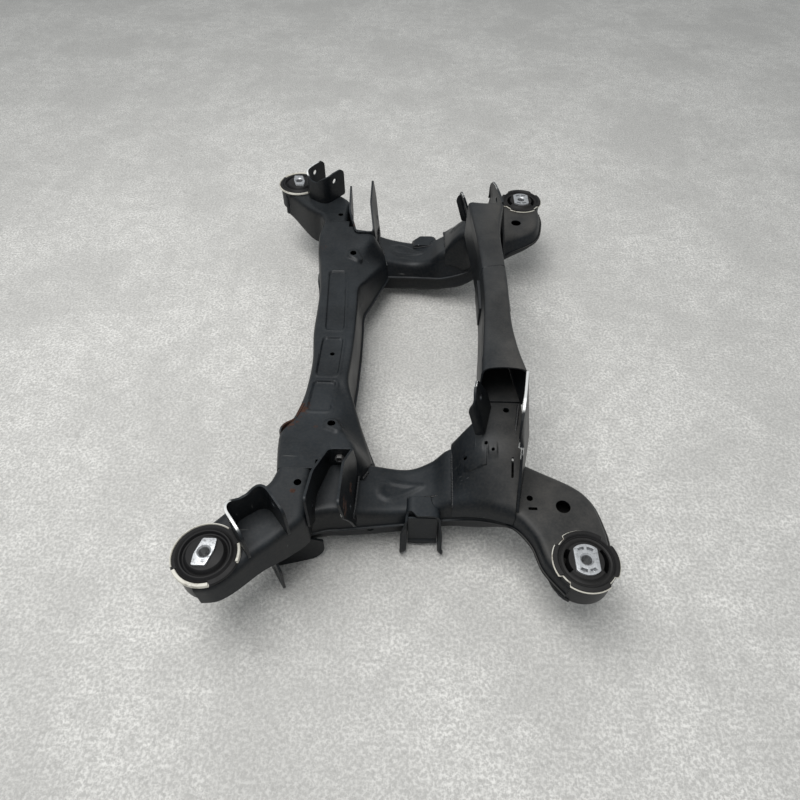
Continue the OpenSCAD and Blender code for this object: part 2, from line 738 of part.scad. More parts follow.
module front_lower_bracket() {
    difference() {
        translate([front_x + 58, -rail_out - 47, 0]) rotate([0, 0, lower_web_turn]) {
            rotate([90, 0, 0]) linear_extrude(plate_t) {
                translate([lower_web_len - lower_web_r, lower_web_r]) circle(lower_web_r);
                polygon([[0, 0], [lower_web_len - lower_web_r, 0], [lower_web_len, lower_web_r],
                    [lower_web_len, rail_bottom + 30], [0, arm_floor_z - seam]]);
            }
            translate([1, -1, 0]) rotate([0, 0, lower_ear_turn - lower_web_turn]) difference() {
                rotate([90, 0, 0]) linear_extrude(plate_t) polygon([[0, 0], [26, 0], [56, 12],
                    [66, 94], [54, 104], [52, arm_floor_z - seam], [0, arm_floor_z - seam]]);
                translate([34, far / 2, 46]) rotate([90, 0, 0]) cylinder(d = bolt_bore_d, h = far);
            }
        }
        rail_body(-far, -60);
    }
}

// Bushes and their sleeves, drawn with the arm's top at Z = 0

can_d = sleeve_d - 2 * sleeve_wall - 2 * seam;
can_wall = 2.5;
flange_h = 4;
rubber_d = can_d - 2 * can_wall - 2 * seam;

module sleeve() {
    translate([0, 0, -sleeve_h]) difference() {
        cylinder(d = sleeve_d, h = sleeve_h);
        translate([0, 0, -1]) cylinder(d = sleeve_d - 2 * sleeve_wall, h = sleeve_h + 2);
    }
}

module can_ring() {
    difference() {
        union() {
            translate([0, 0, 2 - sleeve_h]) cylinder(d = can_d, h = sleeve_h);
            translate([0, 0, seam]) cylinder(d = flange_d, h = flange_h / 2);
        }
        translate([0, 0, -sleeve_h]) cylinder(d = can_d - 2 * can_wall, h = 2 * sleeve_h);
    }
}

// A bead of the ring left bare by the rubber, from angle a to angle b
module can_bead(a, b, w) {
    rotate([0, 0, a]) rotate_extrude(angle = b - a)
        translate([flange_d / 2 - seam - w, flange_h / 4]) square([w, 3 * flange_h / 4]);
}

module front_can() {
    difference() {
        can_ring();
        translate([0, 0, seam - 1]) can_notch(250, 6);
    }
    can_bead(60, 205, 2.5);
    can_bead(213, 287, 6);
    can_bead(-14, 22, 5);
}

// A notch in the flange's rim, centred at the angle a
module can_notch(a, depth) {
    rotate([0, 0, a]) translate([flange_d / 2 - depth, -1, 0]) cube([far, 2, flange_h + 2]);
}

notch_angles = [42, 138, 222, 318];
module rear_can() {
    difference() {
        can_ring();
        for (a = notch_angles) rotate([0, 0, a]) translate([flange_d / 2 - 5, -9, seam - 1])
            cube([far, 18, far]);
    }
}

// Ring of rubber round a core, with a lip over the flange
module rubber_body(rise) {
    lip = flange_h / 2 + 2 * seam;
    rotate_extrude($fn = 96) polygon([
        [0, 6 - core_h + rise], [rubber_d / 2 - 8, 6 - core_h + rise], [rubber_d / 2, 4 - sleeve_h],
        [rubber_d / 2, lip], [flange_d / 2 - 7, lip], [flange_d / 2 - 7, lip + flange_h],
        [flange_d / 2 - 13, lip + flange_h], [flange_d / 2 - 15, lip + 1], [flange_d / 2 - 16, rise - 4],
        [0, rise - 4]]);
}

// Sections of the cores, grown by d
module front_core_shape(d = 0) {
    a = [[-6 - d, 21 + d], [14 + d, 21 + d], [14 + d, 4 - d]];
    polygon(concat(a, -a));
}

module rear_core_shape(d = 0) {
    intersection() {
        circle(24.5 + d);
        square([35 + 2 * d, 60], center = true);
    }
}

module front_rubber() {
    difference() {
        rubber_body(front_core_rise);
        translate([0, 0, -far / 2]) linear_extrude(far) front_core_shape(seam / 3);
    }
}

module rear_rubber() {
    difference() {
        rubber_body(rear_core_rise);
        translate([0, 0, -far / 2]) linear_extrude(far) rear_core_shape(seam / 3);
        for (side = [-1, 1]) translate([0, 0, -24]) linear_extrude(far) intersection() {
            difference() {
                circle(33);
                circle(27);
            }
            translate([side * 30, 0]) square([26, 34], center = true);
        }
    }
}

module front_core() {
    difference() {
        translate([0, 0, front_core_rise - core_h]) linear_extrude(core_h) front_core_shape();
        core_bore();
    }
}

module core_bore() {
    translate([0, 0, -far / 2]) cylinder(d = core_bore_d, h = far);
}

module rear_core() {
    difference() {
        translate([0, 0, rear_core_rise - core_h]) linear_extrude(core_h) rear_core_shape();
        core_bore();
        for (a = [52, 96, 232, 276]) rotate([0, 0, a]) translate([0, 0, rear_core_rise - 6])
            rotate_extrude(angle = 32) translate([15.5, 0]) square([5, far]);
    }
}

// Nuts welded behind the brackets' walls
module weld_nut(d, h) {
    difference() {
        cylinder(d = d, h = h, $fn = 6);
        translate([0, 0, -1]) cylinder(d = d / 2, h = h + 2);
    }
}

module camber_nut() {
    translate([camber_right - 14, -camber_back - plate_t / 2 - seam, front_beam_top]) rotate([90, 0, 0])
        weld_nut(16, 7);
}

// The sub-parts

module front_beam_upper() color(paint) front_beam_shell();
module front_beam_lower() color(paint) front_beam_tray();
module rear_beam_upper() color(paint) rear_beam_shell();
module rear_beam_lower() color(paint) rear_beam_floor();
module rail_upper_left() color(paint) rail_upper();
module rail_upper_right() color(paint) mirrored() rail_upper();
module rail_lower_left() color(paint) rail_lower();
module rail_lower_right() color(paint) mirrored() rail_lower();
module front_arm_upper_left() color(paint) front_arm_shell();
module front_arm_upper_right() color(paint) mirrored() front_arm_shell();
module front_arm_lower_left() color(paint) front_arm_floor();
module front_arm_lower_right() color(paint) mirrored() front_arm_floor();
module rear_tower_left() color(paint) rear_tower();
module rear_tower_right() color(paint) mirrored() rear_tower();
module front_sleeve_left() color(paint) front_bush_place() sleeve();
module front_sleeve_right() color(paint) mirrored() front_bush_place() sleeve();
module rear_sleeve_left() color(paint) rear_bush_place() sleeve();
module rear_sleeve_right() color(paint) mirrored() rear_bush_place() sleeve();
module front_bush_can_left() color(pale_plastic) front_bush_place() front_can();
module front_bush_can_right() color(pale_plastic) mirrored() front_bush_place() front_can();
module rear_bush_can_left() color(pale_plastic) rear_bush_place() rear_can();
module rear_bush_can_right() color(pale_plastic) mirrored() rear_bush_place() rear_can();
module front_bush_rubber_left() color(rubber) front_bush_place() front_rubber();
module front_bush_rubber_right() color(rubber) mirrored() front_bush_place() front_rubber();
module rear_bush_rubber_left() color(rubber) rear_bush_place() rear_rubber();
module rear_bush_rubber_right() color(rubber) mirrored() rear_bush_place() rear_rubber();
module front_bush_core_left() color(aluminium) front_bush_place() front_core();
module front_bush_core_right() color(aluminium) mirrored() front_bush_place() front_core();
module rear_bush_core_left() color(aluminium) rear_bush_place() rear_core();
module rear_bush_core_right() color(aluminium) mirrored() rear_bush_place() rear_core();
module guide_link_bracket_left() color(paint) guide_link_bracket();
module guide_link_bracket_right() color(paint) mirrored() guide_link_bracket();
module camber_link_bracket_left() color(paint) camber_link_bracket();
module camber_link_bracket_right() color(paint) mirrored() camber_link_bracket();
module lower_link_bracket_left() color(paint) lower_link_bracket();
module lower_link_bracket_right() color(paint) mirrored() lower_link_bracket();
module front_lower_bracket_left() color(paint) front_lower_bracket();
module front_lower_bracket_right() color(paint) mirrored() front_lower_bracket();
module rear_ear_inner_left() color(paint) rear_ear_inner();
module rear_ear_inner_right() color(paint) mirrored() rear_ear_inner();
module rear_ear_outer_left() color(paint) rear_ear_outer();
module rear_ear_outer_right() color(paint) mirrored() rear_ear_outer();
module weld_nuts() color(steel) for (side = [0, 1]) mirror([0, side, 0]) camber_nut();

front_beam_upper();
front_beam_lower();
rear_beam_upper();
rear_beam_lower();
rail_upper_left();
rail_upper_right();
rail_lower_left();
rail_lower_right();
front_arm_upper_left();
front_arm_upper_right();
front_arm_lower_left();
front_arm_lower_right();
rear_tower_left();
rear_tower_right();
front_sleeve_left();
front_sleeve_right();
rear_sleeve_left();
rear_sleeve_right();
front_bush_can_left();
front_bush_can_right();
rear_bush_can_left();
rear_bush_can_right();
front_bush_rubber_left();
front_bush_rubber_right();
rear_bush_rubber_left();
rear_bush_rubber_right();
front_bush_core_left();
front_bush_core_right();
rear_bush_core_left();
rear_bush_core_right();
guide_link_bracket_left();
guide_link_bracket_right();
camber_link_bracket_left();
camber_link_bracket_right();
lower_link_bracket_left();
lower_link_bracket_right();
front_lower_bracket_left();
front_lower_bracket_right();
rear_ear_inner_left();
rear_ear_inner_right();
rear_ear_outer_left();
rear_ear_outer_right();
weld_nuts();
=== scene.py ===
"""Painted look of the rear axle subframe: pressed skins, brackets, bushes, weld beads and the stage.

Shapes are worked out in millimetres in the part's own frame (X rear, Y right, Z up) and
written to meshes in metres. The left half is drawn and mirrored.
"""

import math

import bmesh
import bpy
from bpy.props import FloatProperty, FloatVectorProperty, IntProperty, PointerProperty
from mathutils import Matrix, Vector, noise


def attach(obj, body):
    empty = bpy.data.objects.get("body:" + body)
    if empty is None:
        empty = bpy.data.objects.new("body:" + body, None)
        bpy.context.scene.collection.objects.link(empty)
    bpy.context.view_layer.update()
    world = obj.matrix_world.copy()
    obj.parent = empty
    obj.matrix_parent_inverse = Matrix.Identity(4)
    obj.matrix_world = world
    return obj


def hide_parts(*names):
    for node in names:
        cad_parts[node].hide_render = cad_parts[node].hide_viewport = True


bl_info = {
    "name": "Subframe Builder",
    "version": (1, 0, 0),
    "blender": (4, 5, 0),
    "location": "View3D > Sidebar > Subframe",
    "description": "Builds the painted skins, brackets, bushes and welds of a rear axle subframe",
    "category": "Object",
}

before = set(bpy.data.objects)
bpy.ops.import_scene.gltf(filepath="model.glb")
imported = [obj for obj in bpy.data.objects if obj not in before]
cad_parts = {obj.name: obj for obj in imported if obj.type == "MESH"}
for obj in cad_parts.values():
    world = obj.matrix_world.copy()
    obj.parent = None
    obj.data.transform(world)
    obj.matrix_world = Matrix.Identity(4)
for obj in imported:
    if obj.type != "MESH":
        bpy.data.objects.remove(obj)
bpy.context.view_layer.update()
ROOT = "root"
MM = 0.001
FAR = 1000.0

# Places shared with the solid model, in millimetres
FRONT_X, FRONT_Y, FRONT_TOP = -276.5, 505.0, 177.0
REAR_X, REAR_Y, REAR_TOP = 276.5, 486.0, 152.0
SEAM = 0.3
EDGE_R = 14.0
RAIL_MID, RAIL_OUT, RAIL_TOP = 337.0, 384.0, 102.0
BEAM_LEFT, BEAM_RIGHT, BEAM_TOP, BEAM_SEAM, BEAM_BOTTOM = -184.0, -106.0, 156.0, 67.0, 45.0
REAR_BEAM_X, REAR_BEAM_TOP, REAR_BEAM_HALF = 160.0, 300.0, 23.0
TOWER_TOP = 218.0
LAP = 9.0
SLEEVE_R = 46.3
BOLT_R = 6.2
TRAY_GAP = 4.2
CAMBER_LEFT, CAMBER_RIGHT, CAMBER_BACK, CAMBER_END = -139.0, -89.0, 308.0, 450.0
CORE_RISE = {"front": 13.0, "rear": 8.0}
# Upright holes: x, lateral, diameter
CROWN_HOLE = -140, 66, 9
COLLAR_HOLE = -123, 245, 14
ARM_TOP_HOLE = -162, 376, 12
ARM_FLOOR_HOLE = -216.5, 443, 14
REAR_ARM_HOLES = (256.5, 393, 23), (205.5, 379, 10)
TOWER_HOLE = 170, 252, 10
PLATE_HOLES = tuple((REAR_BEAM_X, y, 20) for y in (-120, 0, 120))


def mix(a, b, t):
    return a + (b - a) * t


def smooth(lo, hi, value):
    """Rises softly from 0 at lo to 1 at hi."""
    t = min(max((value - lo) / (hi - lo), 0.0), 1.0)
    return t * t * (3.0 - 2.0 * t)


def spline(points, t):
    """Smooth curve through the stations, read at t, which counts stations."""
    last = len(points) - 1
    i = min(int(t), last - 1)
    u = t - i
    rows = points[max(i - 1, 0)], points[i], points[i + 1], points[min(i + 2, last)]
    return [
        b + 0.5 * u * ((c - a) + u * ((2 * a - 5 * b + 4 * c - d) + u * (3 * b - a - 3 * c + d)))
        for a, b, c, d in zip(*rows)
    ]


def curve(points, steps):
    return [spline(points, k / steps * (len(points) - 1)) for k in range(steps + 1)]


def table(pairs, value):
    """Straight interpolation in a list of (place, result) pairs."""
    if value <= pairs[0][0]:
        return pairs[0][1]
    for (x0, y0), (x1, y1) in zip(pairs, pairs[1:]):
        if value <= x1:
            return mix(y0, y1, (value - x0) / (x1 - x0))
    return pairs[-1][1]


def between(a, b, count):
    return [a.lerp(b, (k + 1) / (count + 1)) for k in range(count)]


def rounded(a, b, c, reach, steps):
    """Points round the corner b between a and c."""
    p, q = b + reach * (a - b).normalized(), b + reach * (c - b).normalized()
    ts = [k / steps for k in range(steps + 1)]
    return [(1 - t) * (1 - t) * p + 2 * t * (1 - t) * b + t * t * q for t in ts]


def section(points, reaches, spans, steps=8):
    """A polyline with rounded inner corners and evenly split straight parts."""
    out = [points[0]]
    for k in range(1, len(points) - 1):
        arc = rounded(points[k - 1], points[k], points[k + 1], reaches[k - 1], steps)
        out += between(out[-1], arc[0], spans[k - 1]) + arc
    return out + between(out[-1], points[-1], spans[-1]) + [points[-1]]


def soft_outline(points, reach, steps=6):
    """A closed plane outline with every corner rounded."""
    count = len(points)
    pts = [Vector(p) for p in points]
    out = []
    for k, p in enumerate(pts):
        a, c = pts[k - 1], pts[(k + 1) % count]
        near = min(reach, 0.45 * (a - p).length, 0.45 * (c - p).length)
        out += rounded(a, p, c, near, steps)
    return out


def arc_points(centre, radius, start, end, steps):
    angles = [math.radians(mix(start, end, k / steps)) for k in range(steps + 1)]
    return [Vector((centre[0] + radius * math.cos(a), centre[1] + radius * math.sin(a))) for a in angles]


def capsule(x, y, p, q, r0, r1):
    """Signed distance from a drop shape that runs from p, radius r0, to q, radius r1."""
    along = Vector((q[0] - p[0], q[1] - p[1]))
    t = min(max(Vector((x - p[0], y - p[1])).dot(along) / along.length_squared, 0.0), 1.0)
    return math.hypot(x - p[0] - t * along.x, y - p[1] - t * along.y) - mix(r0, r1, t)


def soft_box(u, v, half_u, half_v, radius):
    """Signed distance from a rectangle with rounded corners."""
    du, dv = abs(u) - half_u + radius, abs(v) - half_v + radius
    return math.hypot(max(du, 0.0), max(dv, 0.0)) + min(max(du, dv), 0.0) - radius


def grid_normals(grid):
    last_i, last_j = len(grid) - 1, len(grid[0]) - 1
    rows = []
    for i, row in enumerate(grid):
        ahead, behind = grid[min(i + 1, last_i)], grid[max(i - 1, 0)]
        rows.append([
            (row[min(j + 1, last_j)] - row[max(j - 1, 0)]).cross(ahead[j] - behind[j]).normalized()
            for j in range(last_j + 1)
        ])
    return rows


def sheet(grid, thick, lift=None):
    """Closed shell under the grid, with lift(point) raising it along its normals."""
    m, n = len(grid), len(grid[0])
    normals = grid_normals(grid)
    if lift:
        grid = [[p + k * lift(p) for p, k in zip(r, s)] for r, s in zip(grid, normals)]
        normals = grid_normals(grid)
    inner = [[p - thick * k for p, k in zip(r, s)] for r, s in zip(grid, normals)]
    verts = [p for side in (grid, inner) for row in side for p in row]
    half = m * n
    faces = []
    for i in range(m - 1):
        for j in range(n - 1):
            a, b, c, d = i * n + j, i * n + j + 1, (i + 1) * n + j + 1, (i + 1) * n + j
            faces += [(a, b, c, d), (d + half, c + half, b + half, a + half)]
    for i in range(m - 1):
        for j, flip in ((0, False), (n - 1, True)):
            a, b = i * n + j, (i + 1) * n + j
            faces.append((b, b + half, a + half, a) if flip else (a, a + half, b + half, b))
    for j in range(n - 1):
        for i, flip in ((0, True), (m - 1, False)):
            a, b = i * n + j, i * n + j + 1
            faces.append((b, b + half, a + half, a) if flip else (a, a + half, b + half, b))
    return verts, faces


def loft(loops):
    """Closed solid through loops of equal length."""
    n = len(loops[0])
    verts = [p for loop in loops for p in loop]
    faces = [tuple(range(n)), tuple((len(loops) - 1) * n + j for j in reversed(range(n)))]
    for i in range(len(loops) - 1):
        for j in range(n):
            k = (j + 1) % n
            faces.append((i * n + j, (i + 1) * n + j, (i + 1) * n + k, i * n + k))
    return verts, faces


def prism(outline, thick, place=Matrix()):
    """Plane outline made thick along its local Z, then put in place."""
    pts = [Vector((p[0], p[1], 0.0)) for p in outline]
    up = Vector((0, 0, thick))
    verts, faces = loft([pts, [p + up for p in pts]])
    return [place @ v for v in verts], faces


def at_height(z):
    return Matrix.Translation((0, 0, z))


def ring(radius, sides):
    """Corners of a regular outline."""
    angles = [k * math.tau / sides for k in range(sides)]
    return [(radius * math.cos(a), radius * math.sin(a)) for a in angles]


def rod(start, end, radius, sides=40):
    """Cylinder between two points."""
    start, end = Vector(start), Vector(end)
    turn = (end - start).to_track_quat("Z", "Y").to_matrix().to_4x4()
    return prism(ring(radius, sides), (end - start).length, Matrix.Translation(start) @ turn)


def revolve(profile, sides=96, place=Matrix(), rim=None, turn=(0.0, 360.0)):
    """Closed profile (radius, height) spun about Z. rim(angle, r) may move a point's radius."""
    whole = turn[1] - turn[0] >= 360.0
    rows = sides if whole else sides + 1
    n = len(profile)
    verts = []
    for k in range(rows):
        a = math.radians(mix(turn[0], turn[1], k / sides))
        for r, z in profile:
            q = rim(math.degrees(a) % 360.0, r) if rim else r
            verts.append(place @ Vector((q * math.cos(a), q * math.sin(a), z)))
    faces = []
    for k in range(sides):
        for j in range(n):
            a, b = k * n + j, k * n + (j + 1) % n
            c, d = ((k + 1) % rows) * n + (j + 1) % n, ((k + 1) % rows) * n + j
            faces.append((a, d, c, b))
    if not whole:
        faces += [tuple(range(n)), tuple((rows - 1) * n + j for j in reversed(range(n)))]
    return verts, faces


def mirrored(part):
    return [Vector((p.x, -p.y, p.z)) for p in part[0]], [tuple(reversed(f)) for f in part[1]]


def new_object(name, part):
    mesh = bpy.data.meshes.new(name)
    mesh.from_pydata([p * MM for p in part[0]], [], part[1])
    bm = bmesh.new()
    bm.from_mesh(mesh)
    bmesh.ops.recalc_face_normals(bm, faces=bm.faces)
    bm.to_mesh(mesh)
    bm.free()
    obj = bpy.data.objects.new(name, mesh)
    bpy.context.scene.collection.objects.link(obj)
    return obj


def bake(obj):
    """Puts the evaluated modifiers into the mesh and removes them."""
    depsgraph = bpy.context.evaluated_depsgraph_get()
    mesh = bpy.data.meshes.new_from_object(obj.evaluated_get(depsgraph), depsgraph=depsgraph)
    old = obj.data
    obj.modifiers.clear()
    obj.data = mesh
    mesh.name = obj.name
    bpy.data.meshes.remove(old)


def combine(obj, part, how="DIFFERENCE"):
    """Cuts, keeps or adds another shape."""
    tool = new_object("cutter", part)
    mod = obj.modifiers.new("cut", "BOOLEAN")
    mod.operation, mod.solver, mod.object = how, "EXACT", tool
    bake(obj)
    mesh = tool.data
    bpy.data.objects.remove(tool)
    bpy.data.meshes.remove(mesh)


def cut(obj, *tools):
    for tool in tools:
        combine(obj, tool)


def soften(obj, width=0.6, segments=2):
    """Breaks the sharp edges of a plate."""
    mod = obj.modifiers.new("bevel", "BEVEL")
    mod.width, mod.segments = width * MM, segments
    mod.limit_method, mod.angle_limit = "ANGLE", math.radians(50)
    bake(obj)


def tidy(obj):
    """Merges doubled points and drops faces without area."""
    bm = bmesh.new()
    bm.from_mesh(obj.data)
    bmesh.ops.remove_doubles(bm, verts=bm.verts, dist=1e-6)
    bmesh.ops.dissolve_degenerate(bm, edges=bm.edges, dist=1e-6)
    bm.to_mesh(obj.data)
    bm.free()


def finish(obj, material, slot, *nodes, angle=35.0):
    """Shades the piece, hangs it under the root body and hides the solid nodes it stands in for."""
    tidy(obj)
    obj.data.materials.clear()
    obj.data.materials.append(material)
    obj.data.polygons.foreach_set("use_smooth", [True] * len(obj.data.polygons))
    obj.data.set_sharp_from_angle(angle=math.radians(angle))
    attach(obj, ROOT)
    if nodes:
        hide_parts(*nodes)
    return obj


def finish_pair(obj, material, slot, angle=35.0):
    """Finishes the left piece and its mirrored copy in place of their solid nodes."""
    stem = obj.name.removesuffix("_left_skin")
    twin = obj.copy()
    twin.data = obj.data.copy()
    twin.name = twin.data.name = stem + "_right_skin"
    bpy.context.scene.collection.objects.link(twin)
    twin.data.transform(Matrix.Diagonal((1, -1, 1, 1)))
    twin.data.flip_normals()
    finish(obj, material, slot, stem + "_left", angle=angle)
    finish(twin, material, slot, stem + "_right", angle=angle)


# Station: inboard x, lateral, outboard x, lateral, top inboard, top outboard, seam, bottom
RAIL_STATIONS = [
    (-200, 320, -190, 426, 132, 126, 76.8, 42),
    (-130, 298, -128, 403, 132, 126, 73.8, 32),
    (-92, 292, -96, 398, 130, 124, 71.8, 27),
    (-48, 290, -56, 392, 112, 109, 70.8, 24),
    (10, 290, 8, 384, 102, 102, 70.8, 24),
    (50, 281, 50, 381, 114, 108, 76.8, 29),
    (84, 275, 84, 380, 148, 126, 82.8, 38),
    (139.5, 280, 132.5, 388, 154, 148, 98, 50),
    (227.5, 322, 176.5, 410, 152, 152, 116, 89),
    (295.5, 365, 204.5, 446, 152, 152, 122, 101),
    (315.5, 428, 218.5, 490, 152, 152, 124, 106),
    (315.5, 474, 245.5, 528, 152, 152, 126, 108),
]
RAIL_LEAN = 9.0
RAIL_DRAFT = 3.0


def inside_wall(foot, corner, height, depth, inwards):
    """Place on the inner face of the wall from foot to corner, at a height above the foot."""
    v = corner - foot
    return foot + v * height / v.z + inwards * depth * v.length / v.z


def rail_point(s, end, z, depth):
    a, b = Vector((s[0], -s[1])), Vector((s[2], -s[3]))
    u = (b - a).normalized()
    p = b - depth * u if end else a + depth * u
    return Vector((p.x, p.y, z))


def rail_foot(s, end, grow=0.0):
    return rail_point(s, end, s[6], (0.0 if end else -RAIL_LEAN) - grow)


def rail_corner(s, end, grow=0.0):
    return rail_point(s, end, s[4 + end] + grow, RAIL_DRAFT - grow)


def rail_inwards(s, end):
    v = Vector((s[2] - s[0], s[1] - s[3], 0.0)).normalized()
    return -v if end else v


def rail_rim(s, end):
    return inside_wall(rail_foot(s, end), rail_corner(s, end), LAP, TRAY_GAP, rail_inwards(s, end))


def rail_hem(s, end, z):
    p = rail_foot(s, end) + (TRAY_GAP + RAIL_DRAFT) * rail_inwards(s, end)
    return Vector((p.x, p.y, z))


def rail_lip(s, end, reach):
    """Edge of the narrow flange that stands out from the foot of a wall."""
    reach *= 1.0 - 0.97 * smooth(180, 270, s[0])
    return rail_foot(s, end) - reach * rail_inwards(s, end)


def rail_hat(s, lip):
    corners = [rail_lip(s, 0, lip), rail_foot(s, 0), rail_corner(s, 0),
               rail_corner(s, 1), rail_foot(s, 1), rail_lip(s, 1, lip)]
    return section(corners, (2.4, EDGE_R, EDGE_R, 2.4), (0, 7, 30, 7, 0), 7)


def rail_tray(s):
    corners = [rail_rim(s, 1), rail_hem(s, 1, s[7]), rail_hem(s, 0, s[7]), rail_rim(s, 0)]
    return section(corners, (EDGE_R, EDGE_R), (3, 12, 3), 7)


def rail_body(low=-FAR, high=FAR):
    """Everything inside the rail's outer faces, for cutting what is welded to it."""
    rows = [s for s in curve(RAIL_STATIONS, 54) if low < s[0] < high]
    first = [2 * a - b for a, b in zip(rows[0], rows[1])]
    final = [2 * a - b for a, b in zip(rows[-1], rows[-2])]
    loops = []
    for s in [first, *rows, final]:
        top = [rail_foot(s, 0, SEAM), rail_corner(s, 0, SEAM), rail_corner(s, 1, SEAM), rail_foot(s, 1, SEAM)]
        loops.append(section(top, (EDGE_R, EDGE_R), (0, 6, 0), 6)
                     + [rail_hem(s, 1, s[7] - SEAM), rail_hem(s, 0, s[7] - SEAM)])
    return loft(loops)


def rail_drop(p):
    """Lift of the drop-shaped pressing on the rail's flat top."""
    if p.z < RAIL_TOP - 4 or not -60 < p.x < 60:
        return 0.0
    d = capsule(p.x, p.y, (-19, -340), (33, -331), 21.0, 4.0)
    ring = 1.0 - smooth(-2.5, 3.5, d)
    bowl = 1.0 - smooth(-4.0, 2.0, d + 8.0)
    return 2.6 * ring - 2.2 * bowl


def sleeve_room(place):
    x, y, top = place
    return rod((x, -y, top - 400), (x, -y, top + 400), SLEEVE_R, 96)


FRONT_BUSH = FRONT_X, FRONT_Y, FRONT_TOP + SEAM
REAR_BUSH = REAR_X, REAR_Y, REAR_TOP + SEAM


def upright(hole, low, high):
    """A round cutter that stands along Z, for a hole given by x, lateral and diameter."""
    x, lateral, diameter = hole
    return rod((x, -lateral, low), (x, -lateral, high), diameter / 2)


def box(low, high):
    """Cuboid between two corners."""
    (x0, y0, z0), (x1, y1, z1) = low, high
    return prism([(x0, y0), (x1, y0), (x1, y1), (x0, y1)], z1 - z0, at_height(z0))


def rail_wall_hole():
    return rod((-51, -RAIL_MID, 51), (-51, -RAIL_OUT - 60, 51), 6)


def rail_upper_shape(sizes):
    obj = new_object("rail_upper_left_skin", sheet(
        [rail_hat(s, sizes.lip) for s in curve(RAIL_STATIONS, 120)], sizes.sheet, rail_drop))
    low, high = REAR_TOP - 7, REAR_TOP + 40
    slot_hole = [(201.5, -400.5), (215.5, -400.5), (215.5, -395.5), (201.5, -395.5)]
    cut(obj, sleeve_room(REAR_BUSH), *(upright(hole, low, high) for hole in REAR_ARM_HOLES),
        prism(soft_outline(slot_hole, 1.5), high - low, at_height(low)), rail_wall_hole())
    return obj


def rail_lower_shape(sizes):
    rows = curve(RAIL_STATIONS, 120)[:-4]
    obj = new_object("rail_lower_left_skin", sheet([rail_tray(s) for s in rows], sizes.sheet))
    cut(obj, sleeve_room(REAR_BUSH), rail_wall_hole())
    return obj


# Half station: lateral, crest, rear edge, front rise, crest rise, rear rise, foot rise
BEAM_HALF = [
    (75.4, -36, 4, 0, 0, 0, 0),
    (136.3, -36, 3, 0, 0, 0, 0),
    (182.7, -14, 18, 0, 0, -17, 0),
    (229.1, -8, 34, 1, 1, -33, 0),
    (261, 4, 46, 4, 6, -45, 0),
    (290, 22, 55, 10, 14, -54, 0),
    (313, 21, 46, 15, 18, -36, -10),
    (352, -4, 36, 21, 21, -56, -20),
]
FRONT_EDGE = {-1: (7, 6, 1, -11, -26, -25, -22, -16), 1: (-1, -3, -8, -14, -20, -22, -22, -16)}
BEAM_DRAFT = 6.0


def beam_station(side, k):
    b = BEAM_HALF[k]
    return (side * b[0], FRONT_EDGE[side][k], *b[1:])


BEAM_STATIONS = (
    [beam_station(-1, k) for k in reversed(range(8))]
    + [(0, 0, -36, 5, 0, 0, 0, 0)]
    + [beam_station(1, k) for k in range(8)]
)


def beam_foot(s, end):
    x = BEAM_RIGHT + s[3] + BEAM_DRAFT if end else BEAM_LEFT + s[1] - BEAM_DRAFT
    return Vector((x, s[0], BEAM_SEAM + s[7]))


def beam_corner(s, end):
    if end:
        return Vector((BEAM_RIGHT + s[3], s[0], BEAM_TOP + s[6]))
    return Vector((BEAM_LEFT + s[1], s[0], BEAM_TOP + s[4]))


def beam_crest(s):
    return Vector((BEAM_RIGHT + s[2], s[0], BEAM_TOP + s[5]))


def beam_inwards(end):
    return Vector((-1.0 if end else 1.0, 0, 0))


def beam_rim(s, end):
    return inside_wall(beam_foot(s, end), beam_corner(s, end), LAP, TRAY_GAP, beam_inwards(end))


def beam_hem(s, end):
    p = beam_foot(s, end) + (TRAY_GAP + RAIL_DRAFT) * beam_inwards(end)
    return Vector((p.x, p.y, BEAM_BOTTOM))


def beam_hat(s, lip):
    corners = [beam_foot(s, 0) - lip * beam_inwards(0), beam_foot(s, 0), beam_corner(s, 0), beam_crest(s),
               beam_corner(s, 1), beam_foot(s, 1), beam_foot(s, 1) - lip * beam_inwards(1)]
    return section(corners, (2.4, EDGE_R, EDGE_R, 0.7 * EDGE_R, 2.4), (0, 6, 22, 24, 6, 0), 8)


def beam_tray(s):
    corners = [beam_rim(s, 1), beam_hem(s, 1), beam_hem(s, 0), beam_rim(s, 0)]
    return section(corners, (EDGE_R / 2, EDGE_R / 2), (2, 10, 2), 6)


# Pressed panels on the crown: lateral ends, then the two x edges at each end
CROWN_PANELS = [
    ((-2, 188), (-161, -122), (-172, -133)),
    ((-126, -23), (-166, -123), (-163, -121)),
    ((-212, -139), (-172, -128), (-167, -124)),
]


def crown_lift(depth):
    def lift(p):
        if p.z < BEAM_TOP - 6 or abs(p.y) > 285:
            return 0.0
        height = 0.0
        for (y0, y1), low, high in CROWN_PANELS:
            t = (p.y - y0) / (y1 - y0)
            left, right = mix(low[0], high[0], t), mix(low[1], high[1], t)
            d = soft_box(p.x - (left + right) / 2, p.y - (y0 + y1) / 2,
                         (right - left) / 2, (y1 - y0) / 2, 9.0)
            height -= depth * (1.0 - smooth(-3.5, 0.5, d))
            height += 0.4 * depth * (1.0 - smooth(0.5, 4.5, abs(d - 2.0)))
        for side in (-1, 1):
            x, y = COLLAR_HOLE[0], side * COLLAR_HOLE[1]
            d = capsule(p.x, p.y, (x, y), (x + 11, y - 11), 12.5, 8.0)
            height += 5.0 * (1.0 - smooth(-4.0, 6.0, d))
        return height
    return lift


def camber_pocket(grow):
    """Everything inside the camber link bracket's outer faces."""
    pts = offset_path(CAMBER_PATH, -2.0 - grow)
    return prism(pts, FAR)


